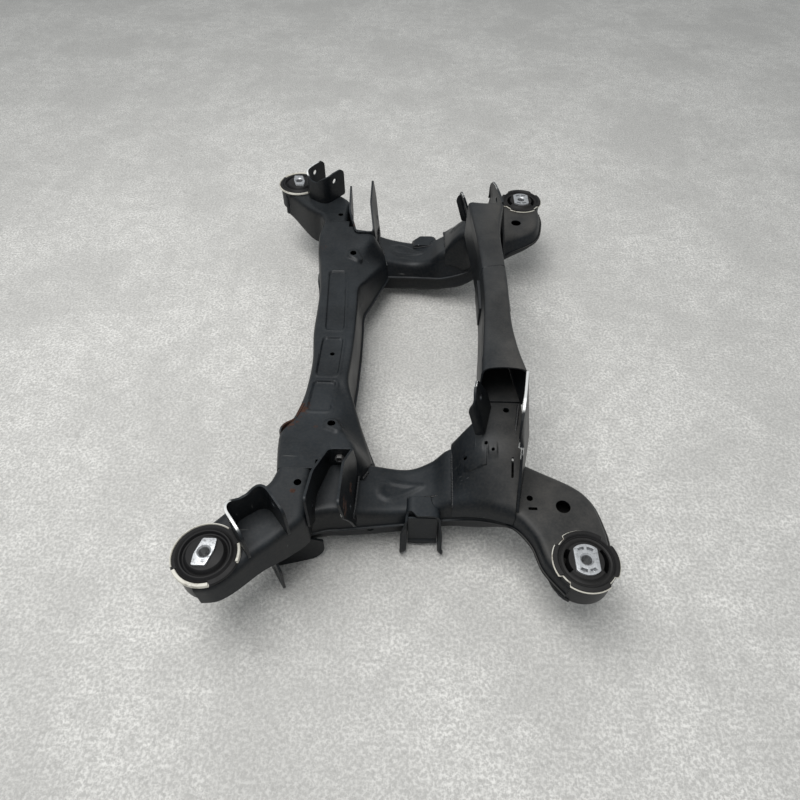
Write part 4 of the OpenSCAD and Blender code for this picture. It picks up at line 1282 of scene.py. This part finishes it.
def spot_group():
    """Ragged patch round a place."""
    tree, ins, outs = new_group(
        "Ragged spot",
        [("Centre", VECTOR, (0, 0, 0)), ("Radius", FLOAT, 0.01), ("Ragged", FLOAT, 0.8),
         ("Scale", FLOAT, 90.0)],
        [("Mask", FLOAT)])
    place = object_place(tree)
    gap = add(tree, "ShaderNodeVectorMath", {"operation": "DISTANCE"}, at_0=place, at_1=ins.outputs["Centre"])
    reach = math_node(tree, "DIVIDE", gap.outputs["Value"], ins.outputs["Radius"])
    near = math_node(tree, "SUBTRACT", 1.0, reach)
    rough = noise_at(tree, place, ins.outputs["Scale"], 4.0, 0.65)
    wobble = part_of(tree, math_node(tree, "SUBTRACT", rough, 0.55), ins.outputs["Ragged"])
    mask = ramp(tree, math_node(tree, "ADD", near, math_node(tree, "MULTIPLY", wobble, 3.0)), 0.1, 0.45)
    inside = ramp(tree, near, 0.0, 0.15)
    tree.links.new(math_node(tree, "MULTIPLY", mask, inside), outs.inputs[0])
    return tree


def scratch_group():
    """Thin straight scuffs in one direction."""
    tree, ins, outs = new_group("Scuffs", [("Stretch", VECTOR, (14, 300, 60))], [("Mask", FLOAT)])
    place = add(tree, "ShaderNodeVectorMath", {"operation": "MULTIPLY"},
                at_0=object_place(tree), at_1=ins.outputs[0])
    lines = ramp(tree, noise_at(tree, place.outputs[0], 1.0, 2.0, 0.5), 0.70, 0.76)
    patch = ramp(tree, noise_at(tree, object_place(tree), 13.0, 2.0), 0.52, 0.66)
    tree.links.new(math_node(tree, "MULTIPLY", lines, patch), outs.inputs[0])
    return tree


# Second colours, blended over the ones in the settings
SCUFF = 0.22, 0.22, 0.21, 1
RUST_DEEP = 0.03, 0.016, 0.012, 1
RUBBER_GREY = 0.010, 0.010, 0.0105, 1
RING_AGED, RING_STAIN = (0.58, 0.55, 0.47, 1), (0.16, 0.13, 0.10, 1)
CORE_PITS, CORE_DARK = (0.42, 0.43, 0.44, 1), (0.17, 0.17, 0.17, 1)
NUT_DARK, NUT_PALE = (0.06, 0.062, 0.066, 1), (0.12, 0.115, 0.11, 1)
# Rubbed edges: place in metres, radius
BARE_EDGES = [
    ((0.170, -0.345, 0.240), 0.030), ((-0.187, -0.472, 0.242), 0.014), ((-0.190, 0.480, 0.242), 0.016),
    ((-0.088, -0.440, 0.195), 0.010), ((0.110, -0.268, 0.301), 0.012), ((0.110, 0.268, 0.301), 0.012),
    ((0.180, 0.300, 0.295), 0.030),
]
# Upper edges worn down to the metal: place in metres, radius
BARE_TOPS = [
    ((0.190, -0.240, 0.301), 0.024), ((0.186, -0.262, 0.303), 0.024), ((0.182, -0.284, 0.304), 0.024),
    ((0.178, -0.306, 0.303), 0.022), ((-0.246, -0.459, 0.243), 0.018), ((-0.235, -0.474, 0.243), 0.018),
    ((-0.224, -0.489, 0.240), 0.020), ((-0.243, 0.463, 0.243), 0.022), ((-0.228, 0.484, 0.242), 0.020),
]
# Rust: place in metres, radius
RUST_SPOTS = [
    ((-0.202, -0.238, 0.152), 0.026), ((-0.186, -0.205, 0.150), 0.028), ((-0.089, -0.425, 0.190), 0.022),
    ((-0.168, -0.392, 0.176), 0.006), ((-0.150, -0.250, 0.157), 0.007), ((-0.078, -0.375, 0.160), 0.014),
    ((0.196, -0.250, 0.250), 0.012), ((-0.190, 0.270, 0.150), 0.016),
    ((-0.120, 0.330, 0.185), 0.012),
]


def largest(tree, values):
    total = values[0]
    for value in values[1:]:
        total = math_node(tree, "MAXIMUM", total, value)
    return total


def spots(tree, group, places, ragged, scale):
    """Mask of ragged spots at (centre, radius) places."""
    return largest(tree, [
        use(tree, group, Centre=c, Radius=r, Ragged=ragged, Scale=scale).outputs[0] for c, r in places])


def new_material(name):
    material = bpy.data.materials.new(name)
    material.use_nodes = True
    tree = material.node_tree
    return material, tree, tree.nodes["Principled BSDF"]


def painted(name, groups, finish, dust, rear_dust, wear, bare_tops=()):
    """Satin dip paint with dust, a painted bluish sky sheen on faces that look up, rubbed edges, rust and
    scuffs.
    """
    material, tree, shader = new_material(name)
    skin = use(tree, groups["skin"], Scale=1.0)
    dust_sheen_node = use(tree, groups["dust"], Amount=dust, Rear=rear_dust)
    dusty = dust_sheen_node.outputs["Mask"]
    bare = spots(tree, groups["spot"], BARE_EDGES, 0.25, 60.0)
    edges = use(tree, groups["edge"], Width=0.0028, Bare=math_node(tree, "MAXIMUM", bare, wear)).outputs[0]
    if bare_tops:
        tops = spots(tree, groups["spot"], bare_tops, 0.3, 45.0)
        up = ramp(tree, upward(tree), 0.5, 0.75)
        edges = math_node(tree, "MAXIMUM", edges, math_node(tree, "MULTIPLY", tops, up))
    rust = spots(tree, groups["spot"], RUST_SPOTS, 0.9, 150.0)
    scuffs = math_node(tree, "MULTIPLY", use(tree, groups["scuff"]).outputs[0], 0.35)

    colour = blend_colour(tree, skin.outputs["Tone"], opaque(finish.paint_deep), opaque(finish.paint))
    colour = blend_colour(tree, part_of(tree, skin.outputs["Mottle"], 0.05), colour, opaque(finish.dust))
    # Painted sheen: a bluish tint on faces that look up, partly a fine dust film and partly the sky's
    # reflection painted into the colour
    colour = blend_colour(tree, part_of(tree, dust_sheen_node.outputs["Dust and sheen"], 0.10), colour, opaque(finish.dust_and_sheen))
    colour = blend_colour(tree, dusty, colour, opaque(finish.dust))
    colour = blend_colour(tree, scuffs, colour, SCUFF)
    rusty = blend_colour(tree, skin.outputs["Mottle"], opaque(finish.rust), RUST_DEEP)
    colour = blend_colour(tree, rust, colour, rusty)
    colour = blend_colour(tree, edges, colour, opaque(finish.bare))
    tree.links.new(colour, shader.inputs["Base Color"])

    shader.inputs["Specular IOR Level"].default_value = 0.24
    rough = blend_value(tree, skin.outputs["Tone"], 0.36, 0.46)
    rough = blend_value(tree, dusty, rough, 0.85)
    rough = blend_value(tree, rust, rough, 0.9)
    rough = blend_value(tree, edges, rough, 0.38)
    tree.links.new(rough, shader.inputs["Roughness"])
    tree.links.new(part_of(tree, edges, 0.55), shader.inputs["Metallic"])

    round_edges = add(tree, "ShaderNodeBevel", {"samples": 6}, Radius=0.0012)
    height = math_node(tree, "ADD", skin.outputs["Height"], part_of(tree, rust, 0.8))
    bump(tree, shader, height, 0.16, 0.0006, Normal=round_edges.outputs[0])
    return material


def weld_material(groups, finish):
    """Painted weld beads, with a little rust between the drops."""
    material, tree, shader = new_material("weld_paint")
    skin = use(tree, groups["skin"], Scale=2.0)
    dusty = use(tree, groups["dust"], Amount=0.08, Rear=0.12).outputs[0]
    colour = blend_colour(tree, skin.outputs["Tone"], opaque(finish.paint_deep), opaque(finish.paint))
    colour = blend_colour(tree, part_of(tree, skin.outputs["Mottle"], 0.04), colour, opaque(finish.rust))
    tree.links.new(blend_colour(tree, dusty, colour, opaque(finish.dust)), shader.inputs["Base Color"])
    tree.links.new(blend_value(tree, skin.outputs["Mottle"], 0.4, 0.62), shader.inputs["Roughness"])
    bump(tree, shader, skin.outputs["Height"], 0.2, 0.0005)
    return material


def rubber_material(groups, finish):
    material, tree, shader = new_material("bush_rubber")
    skin = use(tree, groups["skin"], Scale=2.2)
    dusty = use(tree, groups["dust"], Amount=0.05, Rear=0.03).outputs[0]
    colour = blend_colour(tree, skin.outputs["Mottle"], opaque(finish.rubber), RUBBER_GREY)
    tree.links.new(blend_colour(tree, dusty, colour, opaque(finish.dust)), shader.inputs["Base Color"])
    tree.links.new(blend_value(tree, skin.outputs["Tone"], 0.5, 0.66), shader.inputs["Roughness"])
    shader.inputs["Specular IOR Level"].default_value = 0.25
    bump(tree, shader, skin.outputs["Height"], 0.2, 0.0004)
    return material


def ring_material(groups, finish):
    material, tree, shader = new_material("bush_ring")
    skin = use(tree, groups["skin"], Scale=2.0)
    stain = ramp(tree, noise_at(tree, object_place(tree), 70.0, 5.0, 0.65), 0.5, 0.72)
    colour = blend_colour(tree, skin.outputs["Tone"], opaque(finish.ring), RING_AGED)
    colour = blend_colour(tree, part_of(tree, stain, 0.8), colour, RING_STAIN)
    tree.links.new(colour, shader.inputs["Base Color"])
    tree.links.new(blend_value(tree, stain, 0.5, 0.8), shader.inputs["Roughness"])
    bump(tree, shader, skin.outputs["Height"], 0.15, 0.0004)
    return material


def core_material(groups, finish):
    material, tree, shader = new_material("bush_core")
    place = object_place(tree)
    skin = use(tree, groups["skin"], Scale=1.6)
    cells = add(tree, "ShaderNodeTexVoronoi", None, Vector=place, Scale=420.0)
    pits = ramp(tree, cells.outputs["Distance"], 0.1, 0.42)
    dark = ramp(tree, noise_at(tree, place, 150.0, 5.0, 0.7), 0.48, 0.7)
    colour = blend_colour(tree, pits, CORE_PITS, opaque(finish.core))
    colour = blend_colour(tree, part_of(tree, dark, 0.7), colour, CORE_DARK)
    tree.links.new(colour, shader.inputs["Base Color"])
    shader.inputs["Metallic"].default_value = 0.75
    tree.links.new(blend_value(tree, dark, 0.42, 0.7), shader.inputs["Roughness"])
    height = math_node(tree, "ADD", pits, skin.outputs["Height"])
    bump(tree, shader, height, 0.25, 0.0004)
    return material


def nut_material(groups, finish):
    material, tree, shader = new_material("nut")
    skin = use(tree, groups["skin"], Scale=2.0)
    dusty = use(tree, groups["dust"], Amount=0.2, Rear=0.1).outputs[0]
    edges = use(tree, groups["edge"], Width=0.001, Bare=0.4).outputs[0]
    colour = blend_colour(tree, skin.outputs["Tone"], NUT_DARK, NUT_PALE)
    colour = blend_colour(tree, dusty, colour, opaque(finish.dust))
    tree.links.new(blend_colour(tree, edges, colour, opaque(finish.bare)), shader.inputs["Base Color"])
    tree.links.new(blend_value(tree, dusty, 0.4, 0.8), shader.inputs["Roughness"])
    tree.links.new(blend_value(tree, edges, 0.25, 0.85), shader.inputs["Metallic"])
    return material


def make_materials(finish):
    groups = {"skin": paint_skin_group(), "dust": dust_sheen_group(), "edge": edge_group(), "spot": spot_group(),
              "scuff": scratch_group()}
    return {
        "pressing": painted("pressing_paint", groups, finish, 0.06, 0.30, 0.0),
        "bracket": painted("bracket_paint", groups, finish, 0.04, 0.08, 0.05, BARE_TOPS),
        "weld": weld_material(groups, finish),
        "rubber": rubber_material(groups, finish),
        "ring": ring_material(groups, finish),
        "core": core_material(groups, finish),
        "nut": nut_material(groups, finish),
    }


MATERIALS = {}


def material_for(context, name):
    if not MATERIALS:
        MATERIALS.update(make_materials(context.scene.subframe_finish))
    return MATERIALS[name]


def value_input(node, name):
    return next(s for s in node.inputs if s.name == name and s.type == "VALUE")


def weld_tree():
    """Drops laid side by side along edges, each a little different, as one mesh."""
    tree = bpy.data.node_groups.new("Weld bead", "GeometryNodeTree")
    face = tree.interface
    face.new_socket("Geometry", in_out="INPUT", socket_type="NodeSocketGeometry")
    for name, kind in (("Width", FLOAT), ("Pitch", FLOAT), ("Unevenness", FLOAT),
                       ("Seed", "NodeSocketInt"), ("Material", "NodeSocketMaterial")):
        face.new_socket(name, in_out="INPUT", socket_type=kind)
    face.new_socket("Geometry", in_out="OUTPUT", socket_type="NodeSocketGeometry")
    ins, outs = tree.nodes.new("NodeGroupInput"), tree.nodes.new("NodeGroupOutput")
    width, pitch, uneven, seed = (ins.outputs[n] for n in ("Width", "Pitch", "Unevenness", "Seed"))

    path = add(tree, "GeometryNodeMeshToCurve", None, Mesh=ins.outputs["Geometry"])
    points = add(tree, "GeometryNodeCurveToPoints", {"mode": "LENGTH"}, Curve=path.outputs[0], Length=pitch)
    drop = add(tree, "GeometryNodeMeshUVSphere", None, Segments=10, Rings=6, Radius=0.5)
    smooth_drop = add(tree, "GeometryNodeSetShadeSmooth", None, Geometry=drop.outputs["Mesh"])
    low = math_node(tree, "SUBTRACT", 1.0, uneven)
    high = math_node(tree, "ADD", 1.0, uneven)
    change = tree.nodes.new("FunctionNodeRandomValue")
    tree.links.new(low, value_input(change, "Min"))
    tree.links.new(high, value_input(change, "Max"))
    tree.links.new(seed, change.inputs["Seed"])
    amount = next(s for s in change.outputs if s.type == "VALUE")
    across = math_node(tree, "MULTIPLY", width, amount)
    along = math_node(tree, "MULTIPLY", pitch, 2.6)
    size = add(tree, "ShaderNodeCombineXYZ", None, X=across, Y=across, Z=along)
    drops = add(tree, "GeometryNodeInstanceOnPoints", None, Points=points.outputs["Points"],
                Instance=smooth_drop.outputs[0], Rotation=points.outputs["Rotation"], Scale=size.outputs[0])
    whole = add(tree, "GeometryNodeRealizeInstances", None, Geometry=drops.outputs[0])
    dressed = add(tree, "GeometryNodeSetMaterial", None,
                  Geometry=whole.outputs[0], Material=ins.outputs["Material"])
    tree.links.new(dressed.outputs[0], outs.inputs[0])
    return tree


def socket_id(tree, name):
    return next(s.identifier for s in tree.interface.items_tree
                if s.item_type == "SOCKET" and s.in_out == "INPUT" and s.name == name)


def path_at(points, place=Matrix()):
    return [place @ Vector(p) for p in points]


def weld_paths():
    """Seams of the left half, as lists of points."""
    tower = [Vector((p.x + 0.5, p.y, p.z - 1.6)) for p in tower_hat(TOWER_STATIONS[0]) if -383 < p.y < -290]
    return [
        path_at([(-71, -332, 129), (-71.5, -350, 128), (-72, -368, 127), (-73, -390, 126), (-75, -406, 124)]),
        tower,
        path_at([(13, -354.5, 103), (24, -354.5, 103.5), (48, -354.5, 108), (62, -354.5, 113)]),
        path_at([(-0.6, -2, 219), (-0.6, -30, 216), (-0.6, -60, 212)], EAR_PLACE),
        path_at([(18.5, -3, 218), (18.5, -30, 217), (18.5, -54, 214)], EAR_IN_PLACE),
        path_at([(-50, -286, 101), (-53, -298, 106), (-58, -312, 114), (-64, -328, 120)]),
        [Vector((REAR_X - 46.6 * math.cos(a), -REAR_Y + 46.6 * math.sin(a), 107)) for a in
         (math.radians(-60 + 10 * k) for k in range(15))],
        [Vector((FRONT_X + 46.6 * math.cos(a), -FRONT_Y + 46.6 * math.sin(a), 129)) for a in
         (math.radians(-25 + 10 * k) for k in range(15))],
    ]


def weld_guide():
    """Mesh of edges along all seams, both sides."""
    verts, edges = [], []
    for path in weld_paths():
        for side in (1, -1):
            base = len(verts)
            verts += [Vector((p.x, side * p.y, p.z)) * MM for p in path]
            edges += [(base + k, base + k + 1) for k in range(len(path) - 1)]
    mesh = bpy.data.meshes.new("weld_beads")
    mesh.from_pydata(verts, edges, [])
    obj = bpy.data.objects.new("weld_beads", mesh)
    bpy.context.scene.collection.objects.link(obj)
    return obj


def length(name, description, default):
    return FloatProperty(name=name, description=description, default=default, unit="LENGTH")


def colour(name, description, default):
    return FloatVectorProperty(
        name=name, description=description, default=default, size=3, min=0.0, max=1.0, subtype="COLOR")


class SubframeSizes(bpy.types.PropertyGroup):
    """Sizes of the sheets, plates and welds."""

    sheet: length("Sheet", "Thickness of the pressed sheets", 0.003)
    plate: length("Plate", "Thickness of the bracket plates", 0.004)
    lip: length("Lip", "Reach of the welded flange along a seam", 0.0035)
    panel: length("Panel", "Depth of the pressed crown panels", 0.0030)
    weld_width: length("Weld width", "Width of a weld bead", 0.0050)
    weld_pitch: length("Weld pitch", "Distance between weld drops", 0.0018)
    weld_uneven: FloatProperty(name="Weld unevenness", description="How much the drops differ", default=0.22,
                               min=0.0, max=0.6, subtype="FACTOR")
    weld_seed: IntProperty(name="Weld seed", description="Start of the weld's random numbers", default=7,
                           subtype="UNSIGNED")


class SubframeFinish(bpy.types.PropertyGroup):
    """Colours of the surfaces."""

    paint: colour("Paint", "Paint where it has faded", (0.0056, 0.0080, 0.0108))
    paint_deep: colour("Deep paint", "Paint where it is fresh", (0.0028, 0.0040, 0.0054))
    dust: colour("Dust", "Dust on the faces that look up", (0.150, 0.132, 0.110))
    # Colour of the dust film on faces that look up. Its bluish tint is a painted sheen of the sky
    dust_and_sheen: colour("Dust and sheen", "Fine grey film on the faces that look up", (0.105, 0.135, 0.160))
    rust: colour("Rust", "Rust where the paint has gone", (0.062, 0.030, 0.020))
    bare: colour("Bare metal", "Edges rubbed bare", (0.82, 0.82, 0.80))
    rubber: colour("Rubber", "Rubber of the bushes", (0.006, 0.006, 0.0065))
    ring: colour("Ring", "Moulded rings of the bushes", (0.70, 0.68, 0.61))
    core: colour("Core", "Cast cores of the bushes", (0.55, 0.56, 0.57))


class SubframeStage(bpy.types.PropertyGroup):
    """Floor and light."""

    floor: colour("Floor", "Colour of the floor", (0.88, 0.862, 0.82))
    sky: FloatProperty(name="Sky", description="Strength of the even sky light", default=0.48,
                       min=0.0, max=5.0, subtype="FACTOR")
    lamp: FloatProperty(name="Lamp", description="Power of the large soft lamp", default=54.0,
                        min=0.0, unit="POWER")


class Millimetres:
    """The size settings, read in millimetres."""

    def __init__(self, settings):
        self.sheet, self.plate, self.lip, self.panel = (
            value / MM for value in (settings.sheet, settings.plate, settings.lip, settings.panel))


def build_pairs(context, paint, *shapes):
    sizes = Millimetres(context.scene.subframe_sizes)
    for shape in shapes:
        finish_pair(shape(sizes), material_for(context, paint), "paint")


class SUBFRAME_OT_cross_members(bpy.types.Operator):
    """Build the pressed skins of the front and rear cross members"""

    bl_idname = "subframe.cross_members"
    bl_label = "Cross Members"

    def execute(self, context):
        sizes = Millimetres(context.scene.subframe_sizes)
        paint = material_for(context, "pressing")
        for shape in (front_beam_upper_shape, front_beam_lower_shape,
                      rear_beam_upper_shape, rear_beam_lower_shape):
            skin = shape(sizes)
            finish(skin, paint, "paint", skin.name.removesuffix("_skin"))
        finish(new_object("front_hook_lip", hook_lip(sizes)), paint, "paint")
        return {"FINISHED"}


class SUBFRAME_OT_rails(bpy.types.Operator):
    """Build the side rails with their rear arms, left and right"""

    bl_idname = "subframe.rails"
    bl_label = "Side Rails"

    def execute(self, context):
        build_pairs(context, "pressing", rail_upper_shape, rail_lower_shape)
        return {"FINISHED"}


class SUBFRAME_OT_arms(bpy.types.Operator):
    """Build the front arms, left and right"""

    bl_idname = "subframe.arms"
    bl_label = "Front Arms"

    def execute(self, context):
        build_pairs(context, "pressing", front_arm_upper_shape, front_arm_lower_shape)
        return {"FINISHED"}


class SUBFRAME_OT_towers(bpy.types.Operator):
    """Build the hoods that climb to the rear cross member, left and right"""

    bl_idname = "subframe.towers"
    bl_label = "Rear Towers"

    def execute(self, context):
        build_pairs(context, "pressing", rear_tower_shape)
        return {"FINISHED"}


class SUBFRAME_OT_brackets(bpy.types.Operator):
    """Build the link brackets and ears, left and right"""

    bl_idname = "subframe.brackets"
    bl_label = "Brackets"

    def execute(self, context):
        build_pairs(context, "bracket", guide_link_shape, camber_link_shape, lower_link_shape,
                    front_lower_shape, rear_ear_inner_shape, rear_ear_outer_shape)
        return {"FINISHED"}


class SUBFRAME_OT_bushes(bpy.types.Operator):
    """Build the four bushes with their sleeves"""

    bl_idname = "subframe.bushes"
    bl_label = "Bushes"

    def execute(self, context):
        for kind, place, can in (("front", FRONT_BUSH, front_can_shape), ("rear", REAR_BUSH, rear_can_shape)):
            sleeve = sleeve_shape(kind + "_sleeve_left_skin", place)
            finish_pair(sleeve, material_for(context, "pressing"), "paint")
            finish_pair(can(place), material_for(context, "ring"), "bush_ring")
            finish_pair(rubber_shape(kind, place), material_for(context, "rubber"), "bush_rubber", 28)
            finish_pair(core_shape(kind, place), material_for(context, "core"), "bush_core")
        return {"FINISHED"}


class SUBFRAME_OT_nuts(bpy.types.Operator):
    """Build the nuts welded to the brackets"""

    bl_idname = "subframe.nuts"
    bl_label = "Weld Nuts"

    def execute(self, context):
        nuts = []
        for side in (-1, 1):
            turn = Matrix.Rotation(math.radians(90 if side < 0 else -90), 4, "X")
            nuts.append(nut_part(Matrix.Translation((-103, side * 310.3, 156)) @ turn, 16, 7))
        finish(merge(nuts, "weld_nuts_skin"), material_for(context, "nut"), "nut", "weld_nuts")
        return {"FINISHED"}


class SUBFRAME_OT_welds(bpy.types.Operator):
    """Lay weld beads along the seams"""

    bl_idname = "subframe.welds"
    bl_label = "Weld Beads"

    def execute(self, context):
        sizes = context.scene.subframe_sizes
        obj = weld_guide()
        tree = weld_tree()
        mod = obj.modifiers.new("beads", "NODES")
        mod.node_group = tree
        paint = material_for(context, "weld")
        for name, value in (("Width", sizes.weld_width), ("Pitch", sizes.weld_pitch),
                            ("Unevenness", sizes.weld_uneven), ("Seed", sizes.weld_seed),
                            ("Material", paint)):
            mod[socket_id(tree, name)] = value
        bake(obj)
        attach(obj, ROOT)
        return {"FINISHED"}


# Camera of the photograph, in metres and degrees, and the lamp over the part
EYE, EYE_TURN = (0.0116, -0.9124, 0.998), (-1.401, 49.06, 0.275)
LENS_MM, SENSOR_MM = 27.9, 36.0
LAMP_PLACE, LAMP_AIM, LAMP_SIZE = (-0.5, -0.35, 2.6), (0, 0, 0.1), (2.2, 1.3)
SKY_TINT = 0.93, 0.97, 1.0


class SUBFRAME_OT_stage(bpy.types.Operator):
    """Set the floor, the light and the camera"""

    bl_idname = "subframe.stage"
    bl_label = "Stage"

    def execute(self, context):
        stage = context.scene.subframe_stage
        reach = 9 * FAR
        corners = [(-reach, -reach, 0), (reach, -reach, 0), (reach, reach, 0), (-reach, reach, 0)]
        floor = new_object("floor", ([Vector(p) for p in corners], [(0, 1, 2, 3)]))
        material, tree, shader = new_material("floor")
        place = object_place(tree)
        cloud = ramp(tree, noise_at(tree, place, 3.0, 6.0, 0.65), 0.36, 0.62)
        patch = ramp(tree, noise_at(tree, place, 26.0, 6.0, 0.7), 0.3, 0.7)
        grain = ramp(tree, noise_at(tree, place, 190.0, 2.0, 0.7), 0.34, 0.66)
        pits = ramp(tree, noise_at(tree, place, 60.0, 5.0, 0.8), 0.53, 0.66)
        tone = blend_colour(tree, cloud, opaque(0.74 * c for c in stage.floor), opaque(stage.floor))
        for mask, share, shade in ((patch, 0.7, 0.66), (grain, 0.85, 0.52), (pits, 0.45, 0.42)):
            dark = opaque(shade * c for c in stage.floor)
            tone = blend_colour(tree, part_of(tree, mask, share), tone, dark)
        tree.links.new(tone, shader.inputs["Base Color"])
        shader.inputs["Roughness"].default_value = 0.9
        bump(tree, shader, grain, 0.5, 0.0015)
        floor.data.materials.append(material)

        scene = context.scene
        scene.view_settings.view_transform = "Standard"
        world = bpy.data.worlds.new("sky")
        world.use_nodes = True
        world.node_tree.nodes["Background"].inputs["Color"].default_value = opaque(SKY_TINT)
        world.node_tree.nodes["Background"].inputs["Strength"].default_value = stage.sky
        scene.world = world
        lamp = bpy.data.lights.new("soft_lamp", "AREA")
        lamp.energy, lamp.shape = stage.lamp, "RECTANGLE"
        lamp.size, lamp.size_y = LAMP_SIZE
        lamp_obj = bpy.data.objects.new("soft_lamp", lamp)
        lamp_obj.location = LAMP_PLACE
        aim = Vector(LAMP_AIM) - lamp_obj.location
        lamp_obj.rotation_euler = aim.to_track_quat("-Z", "Y").to_euler()
        scene.collection.objects.link(lamp_obj)

        camera = bpy.data.cameras.new("camera")
        camera.lens, camera.sensor_width, camera.clip_start = LENS_MM, SENSOR_MM, 0.02
        eye = bpy.data.objects.new("camera", camera)
        yaw, pitch, roll = (math.radians(a) for a in EYE_TURN)
        forward = Vector((math.sin(yaw) * math.cos(pitch), math.cos(yaw) * math.cos(pitch), -math.sin(pitch)))
        right = Vector((math.cos(yaw), -math.sin(yaw), 0))
        up = right.cross(forward)
        side = math.cos(roll) * right + math.sin(roll) * up
        head = -math.sin(roll) * right + math.cos(roll) * up
        turn = Matrix((side, head, -forward)).transposed().to_4x4()
        eye.matrix_world = Matrix.Translation(EYE) @ turn
        scene.collection.objects.link(eye)
        scene.camera = eye
        return {"FINISHED"}


OPERATORS = (
    SUBFRAME_OT_cross_members, SUBFRAME_OT_rails, SUBFRAME_OT_arms, SUBFRAME_OT_towers, SUBFRAME_OT_brackets,
    SUBFRAME_OT_bushes, SUBFRAME_OT_nuts, SUBFRAME_OT_welds, SUBFRAME_OT_stage,
)


class SUBFRAME_PT_build(bpy.types.Panel):
    """Settings and build steps"""

    bl_label = "Subframe"
    bl_idname = "SUBFRAME_PT_build"
    bl_space_type = "VIEW_3D"
    bl_region_type = "UI"
    bl_category = "Subframe"

    def draw(self, context):
        scene = context.scene
        for settings in (scene.subframe_sizes, scene.subframe_finish, scene.subframe_stage):
            box_ = self.layout.box()
            for name in settings.__annotations__:
                box_.prop(settings, name)
        for op in OPERATORS:
            self.layout.operator(op.bl_idname)


CLASSES = (SubframeSizes, SubframeFinish, SubframeStage, *OPERATORS, SUBFRAME_PT_build)


def register():
    for cls in CLASSES:
        bpy.utils.register_class(cls)
    bpy.types.Scene.subframe_sizes = PointerProperty(type=SubframeSizes)
    bpy.types.Scene.subframe_finish = PointerProperty(type=SubframeFinish)
    bpy.types.Scene.subframe_stage = PointerProperty(type=SubframeStage)


def unregister():
    del bpy.types.Scene.subframe_sizes, bpy.types.Scene.subframe_finish, bpy.types.Scene.subframe_stage
    for cls in reversed(CLASSES):
        bpy.utils.unregister_class(cls)


def main():
    register()
    bpy.ops.subframe.cross_members()
    bpy.ops.subframe.rails()
    bpy.ops.subframe.arms()
    bpy.ops.subframe.towers()
    bpy.ops.subframe.brackets()
    bpy.ops.subframe.bushes()
    bpy.ops.subframe.nuts()
    bpy.ops.subframe.welds()
    bpy.ops.subframe.stage()


if __name__ == "__main__":
    main()
